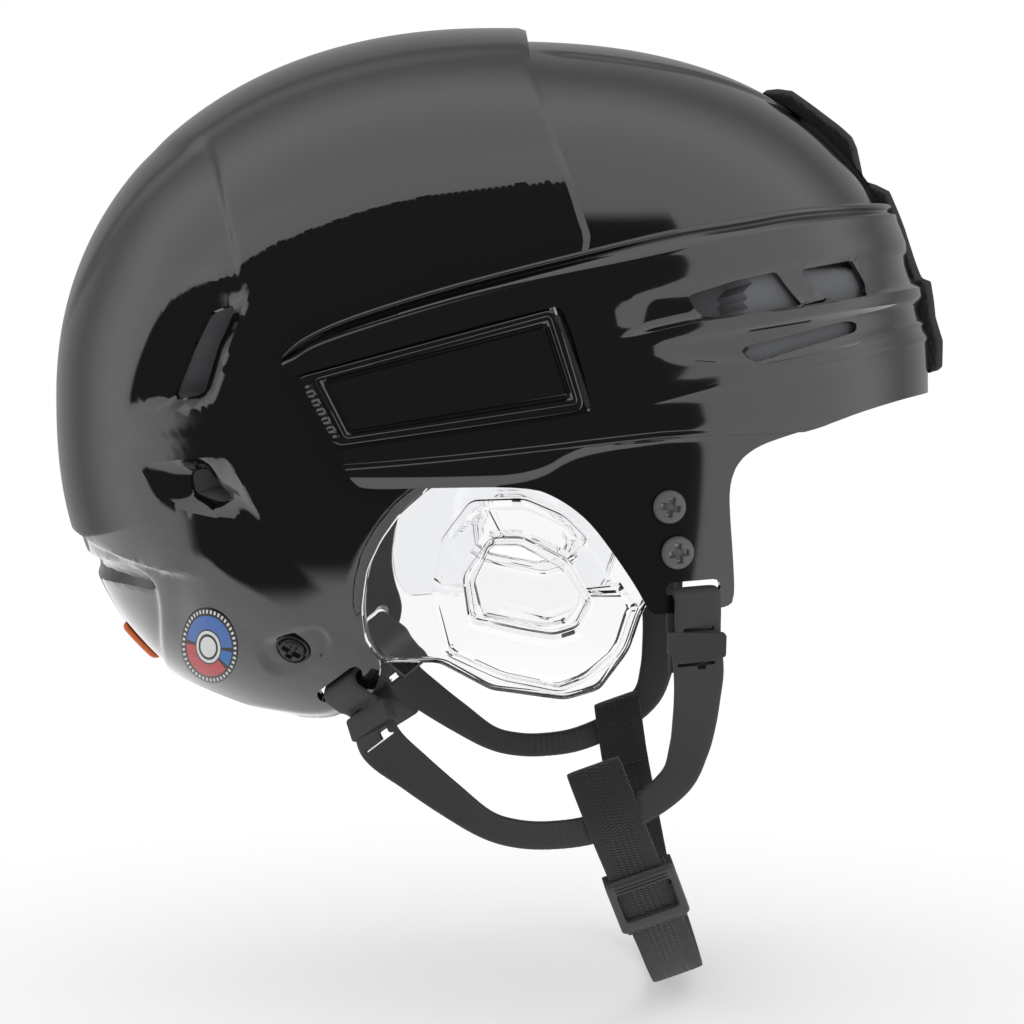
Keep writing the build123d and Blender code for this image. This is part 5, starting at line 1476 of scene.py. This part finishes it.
def forehead_strip():
    """Three overlapping scales over the middle of the brow. A place's reach from the domes' middle is the
    side profile's, times (1 - |y / w|^m)^(1/m) like the crown's, with edges rounded by a quarter circle
    over 2 mm and the scales narrower towards the top."""
    reach, angle = strip_rows()
    share = np.linspace(-1, 1, 49)
    half = STRIP_HALF_WIDTH - 1.5 * ramp(angle, 0.35, 0.9)
    step = np.gradient(reach)
    scale_edge = np.interp(angle, [0.05, 0.26, 0.29, 0.5, 0.54, 0.8], [0.0, -0.6, 0.5, -0.3, 0.6, 0.0])
    half = half + scale_edge - 0.3 * np.clip(step, -1, 1)
    y = share[None] * half[:, None]
    crown = np.stack([np.cos(angle), np.zeros(len(angle)), np.sin(angle)], -1)
    seat = dome_radius(crown, CROWN_DOME + 0.15)[:, None]
    bend = (1 - np.abs(y / CROWN_DOME[4]) ** WIDTH_POWER) ** (1 / WIDTH_POWER)
    edge = np.clip((1 - np.abs(share))[None] * half[:, None], 0, STRIP_EDGE)
    ends = np.minimum(np.arange(len(angle)), np.arange(len(angle))[::-1])[:, None] * 0.9
    edge = np.minimum(edge, np.clip(ends, 0, STRIP_EDGE))
    rounding = STRIP_EDGE - np.sqrt(np.maximum(STRIP_EDGE ** 2 - (STRIP_EDGE - edge) ** 2, 0))
    outer = np.maximum((reach[:, None] - rounding * 1.2), seat + 0.5) * bend
    inner = seat * bend
    ways = np.stack([np.cos(angle), np.sin(angle)], -1)

    def laid(reach):
        return np.stack([DOME_MIDDLE[0] + reach * ways[:, :1], y, DOME_MIDDLE[2] + reach * ways[:, 1:]], -1)
    rings = np.concatenate([laid(outer), laid(inner)[:, ::-1]], axis=1)
    first, last = (np.broadcast_to((end + end[:, ::-1]) / 2, end.shape) for end in (rings[:1], rings[-1:]))
    rings = np.concatenate([first, rings, last])
    return rings.reshape(-1, 3), tube_faces(len(rings), rings.shape[1])


set_piece("forehead_scales", [forehead_strip()], pebbled_black, "front", "forehead_strip", 40.0)

# Pull tab and round mark


def nape_patch(half_across, half_along, base, insets, stands, corner):
    """A tab about the nape: rounded rectangles at growing insets, laid on the rear dome along unit
    directions, each at its own stand over it."""
    rings = []
    least = min(half_across, half_along)
    for inset, stand in [(0.0, base), *zip(insets, stands), (least, stands[-1])]:
        ring = rounded_ring(2 * half_across, 2 * half_along, inset, corner, (6, 6, 14))
        way = unit(NAPE + ring[:, :1] * np.array([0, 1.0, 0]) + ring[:, 1:] * NAPE_UP - DOME_MIDDLE)
        rings.append(DOME_MIDDLE + way * (dome_radius(way, REAR_DOME) + stand)[:, None])
    rings = np.stack([np.tile(rings[0].mean(0), (len(rings[0]), 1)), *rings])
    return rings.reshape(-1, 3), tube_faces(len(rings), rings.shape[1])


PULL_TAB_HALF = 7.6
PULL_TAB_INSETS = [0.0, 0.5, 1.4, 2.4, 3.4]
PULL_TAB_STANDS = [0.9, 1.7, 2.2, 2.2, 1.9]
pull_tab = nape_patch(PULL_TAB_HALF, PULL_TAB_HALF, 0.35, PULL_TAB_INSETS, PULL_TAB_STANDS, 2.4)
set_piece("pull_tab", [pull_tab], tab_orange, "occipital", "occipital_tab", 35.0)


MARK_MIDDLE = (-94.1, -18.9)
MARK_HALF_WIDTH = 9.4
MARK_HALF_HEIGHT = 12.6
MARK_LEAN = 1.2


def round_mark(spokes=72):
    """A thin disc on the rear shell's skin: rings and spokes in the side view, laid 0.14 mm over it,
    with each point's place on the round print."""
    far, angle = np.meshgrid(np.linspace(0, 1, 21), np.linspace(0, 2 * math.pi, spokes, endpoint=False),
                             indexing="ij")
    u, v = far * np.cos(angle), far * np.sin(angle)
    x, z = MARK_MIDDLE[0] + MARK_HALF_WIDTH * u + MARK_LEAN * v, MARK_MIDDLE[1] + MARK_HALF_HEIGHT * v
    stand = rear_relief(on_side(x, z, REAR_DOME, -1, 0.0)[0], None)
    top, low = on_side(x, z, REAR_DOME, -1, stand + 0.14, stand - 0.25)
    rings = np.concatenate([top, low[::-1]])
    places = np.stack([u, v], -1)
    places = np.concatenate([places, places[::-1]])
    return rings.reshape(-1, 3), tube_faces(len(rings), spokes), places.reshape(-1, 2)


*mark_mesh, mark_places = round_mark()
mark = joined("round_mark", [mark_mesh], mark_print)
lay_uv(mark, mark_places)
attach(merged(mark), "rear")

# Camera, light and floor

CAMERA_PLACE = np.array([-5.056, -877.856, 77.502])
CAMERA_TILT = 4.0          # degrees down
PICTURE_WIDTH = 1024       # pixels
LENS_REACH = 2784.8        # from lens to picture, in the same pixels
FLOOR_DROP = 2.0
FLOOR_HEIGHT = CAD_LOW[2] / MM - FLOOR_DROP

camera = bpy.data.objects.new("camera", bpy.data.cameras.new("camera"))
bpy.context.scene.collection.objects.link(camera)
camera.location = CAMERA_PLACE * MM
camera.rotation_euler = (math.radians(90 - CAMERA_TILT), 0, 0)
camera.data.sensor_width = 36.0
camera.data.lens = camera.data.sensor_width * LENS_REACH / PICTURE_WIDTH
bpy.context.scene.camera = camera
bpy.context.scene.view_settings.view_transform = "Standard"


def light_tent():
    """The world: white to the camera and through glass, plain pale light on surfaces, and a soft tent
    with one dark side for glossy reflections."""
    world = bpy.data.worlds.new("tent")
    bpy.context.scene.world = world
    world.use_nodes = True
    tree = world.node_tree
    tree.nodes.clear()
    path = add_node(tree, "LightPath")
    way = add_node(tree, "TexCoord").outputs["Generated"]
    split = add_node(tree, "SeparateXYZ", Vector=way)
    x, y, z = (split.outputs[axis] for axis in "XYZ")

    def scaled(value, low, high, to_low=0.0, to_high=1.0, kind="SMOOTHSTEP"):
        return add_node(tree, "MapRange", {"interpolation_type": kind}, Value=value, From_Min=low,
                        From_Max=high, To_Min=to_low, To_Max=to_high).outputs["Result"]

    turn = maths(tree, "ARCTAN2", x, maths(tree, "MULTIPLY", y, -1.0))
    rise = maths(tree, "ARCSINE", z)
    limit = scaled(turn, *np.radians([-64, -20, 20, 43]), kind="LINEAR")
    over = maths(tree, "SUBTRACT", rise, limit)
    window = scaled(turn, *np.radians([-72, -60]))
    for lit in (scaled(turn, *np.radians([34, 36])), scaled(over, *np.radians([-3, 3]))):
        window = maths(tree, "MULTIPLY", window, maths(tree, "SUBTRACT", 1.0, lit))
    window = maths(tree, "MULTIPLY", window, scaled(rise, *np.radians([-44, -34])))
    behind = scaled(y, 0.0, 0.6)
    glossy_level = maths(tree, "MULTIPLY", maths(tree, "MULTIPLY_ADD", window, -0.94, 1.0),
                         maths(tree, "MULTIPLY_ADD", behind, -0.72, 1.0))
    seen = maths(tree, "MAXIMUM", path.outputs["Is Camera Ray"], path.outputs["Is Transmission Ray"])
    level = add_node(tree, "Mix", {"data_type": "FLOAT"}, Factor=path.outputs["Is Glossy Ray"], i2=0.86,
                     i3=glossy_level)
    final = add_node(tree, "Mix", {"data_type": "FLOAT"}, Factor=seen, i2=level.outputs[0], i3=1.0)
    ground = add_node(tree, "Background", Color=(1, 1, 1, 1), Strength=final.outputs[0])
    out = tree.nodes.new("ShaderNodeOutputWorld")
    tree.links.new(ground.outputs["Background"], out.inputs["Surface"])


light_tent()


def make_floor():
    """A pale floor sheet under the helmet. To the camera, and in gloss and clear plastic, it runs into the
    white surroundings and keeps the helmet's shadow."""
    u, v = np.meshgrid(np.linspace(-520, 520, 5), np.linspace(-150, 700, 5), indexing="ij")
    points = np.stack([u, v, np.full(u.shape, FLOOR_HEIGHT)], -1).reshape(-1, 3)
    index = np.arange(25).reshape(5, 5)
    faces = np.stack([index[:-1, :-1], index[1:, :-1], index[1:, 1:], index[:-1, 1:]], -1).reshape(-1, 4)
    material, tree, shader = new_material("floor white")
    tree.nodes.remove(shader)
    path = add_node(tree, "LightPath")
    seen = maths(tree, "MAXIMUM", path.outputs["Is Camera Ray"], path.outputs["Is Transmission Ray"])
    seen = maths(tree, "MAXIMUM", seen, path.outputs["Is Glossy Ray"])
    lift = maths(tree, "MULTIPLY", seen, 0.36)
    plain = add_node(tree, "BsdfDiffuse", Color=(0.8, 0.8, 0.8, 1))
    white = add_node(tree, "Emission", Color=(1, 1, 1, 1), Strength=lift)
    both = add_node(tree, "AddShader", i0=plain.outputs[0], i1=white.outputs[0])
    tree.links.new(both.outputs[0], tree.nodes["Material Output"].inputs["Surface"])
    make_mesh("floor", points, faces, material)


make_floor()

LOOKS = {"occipital_cradle": matte_black, "right_size_rack": matte_black, "left_size_rack": matte_black,
         "visor_nuts": nut_steel, "rear_nuts": nut_steel, "right_lever_pin": nut_steel,
         "left_lever_pin": nut_steel}
for node_name, look in LOOKS.items():
    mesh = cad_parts[node_name].data
    mesh.materials.clear()
    mesh.materials.append(look)
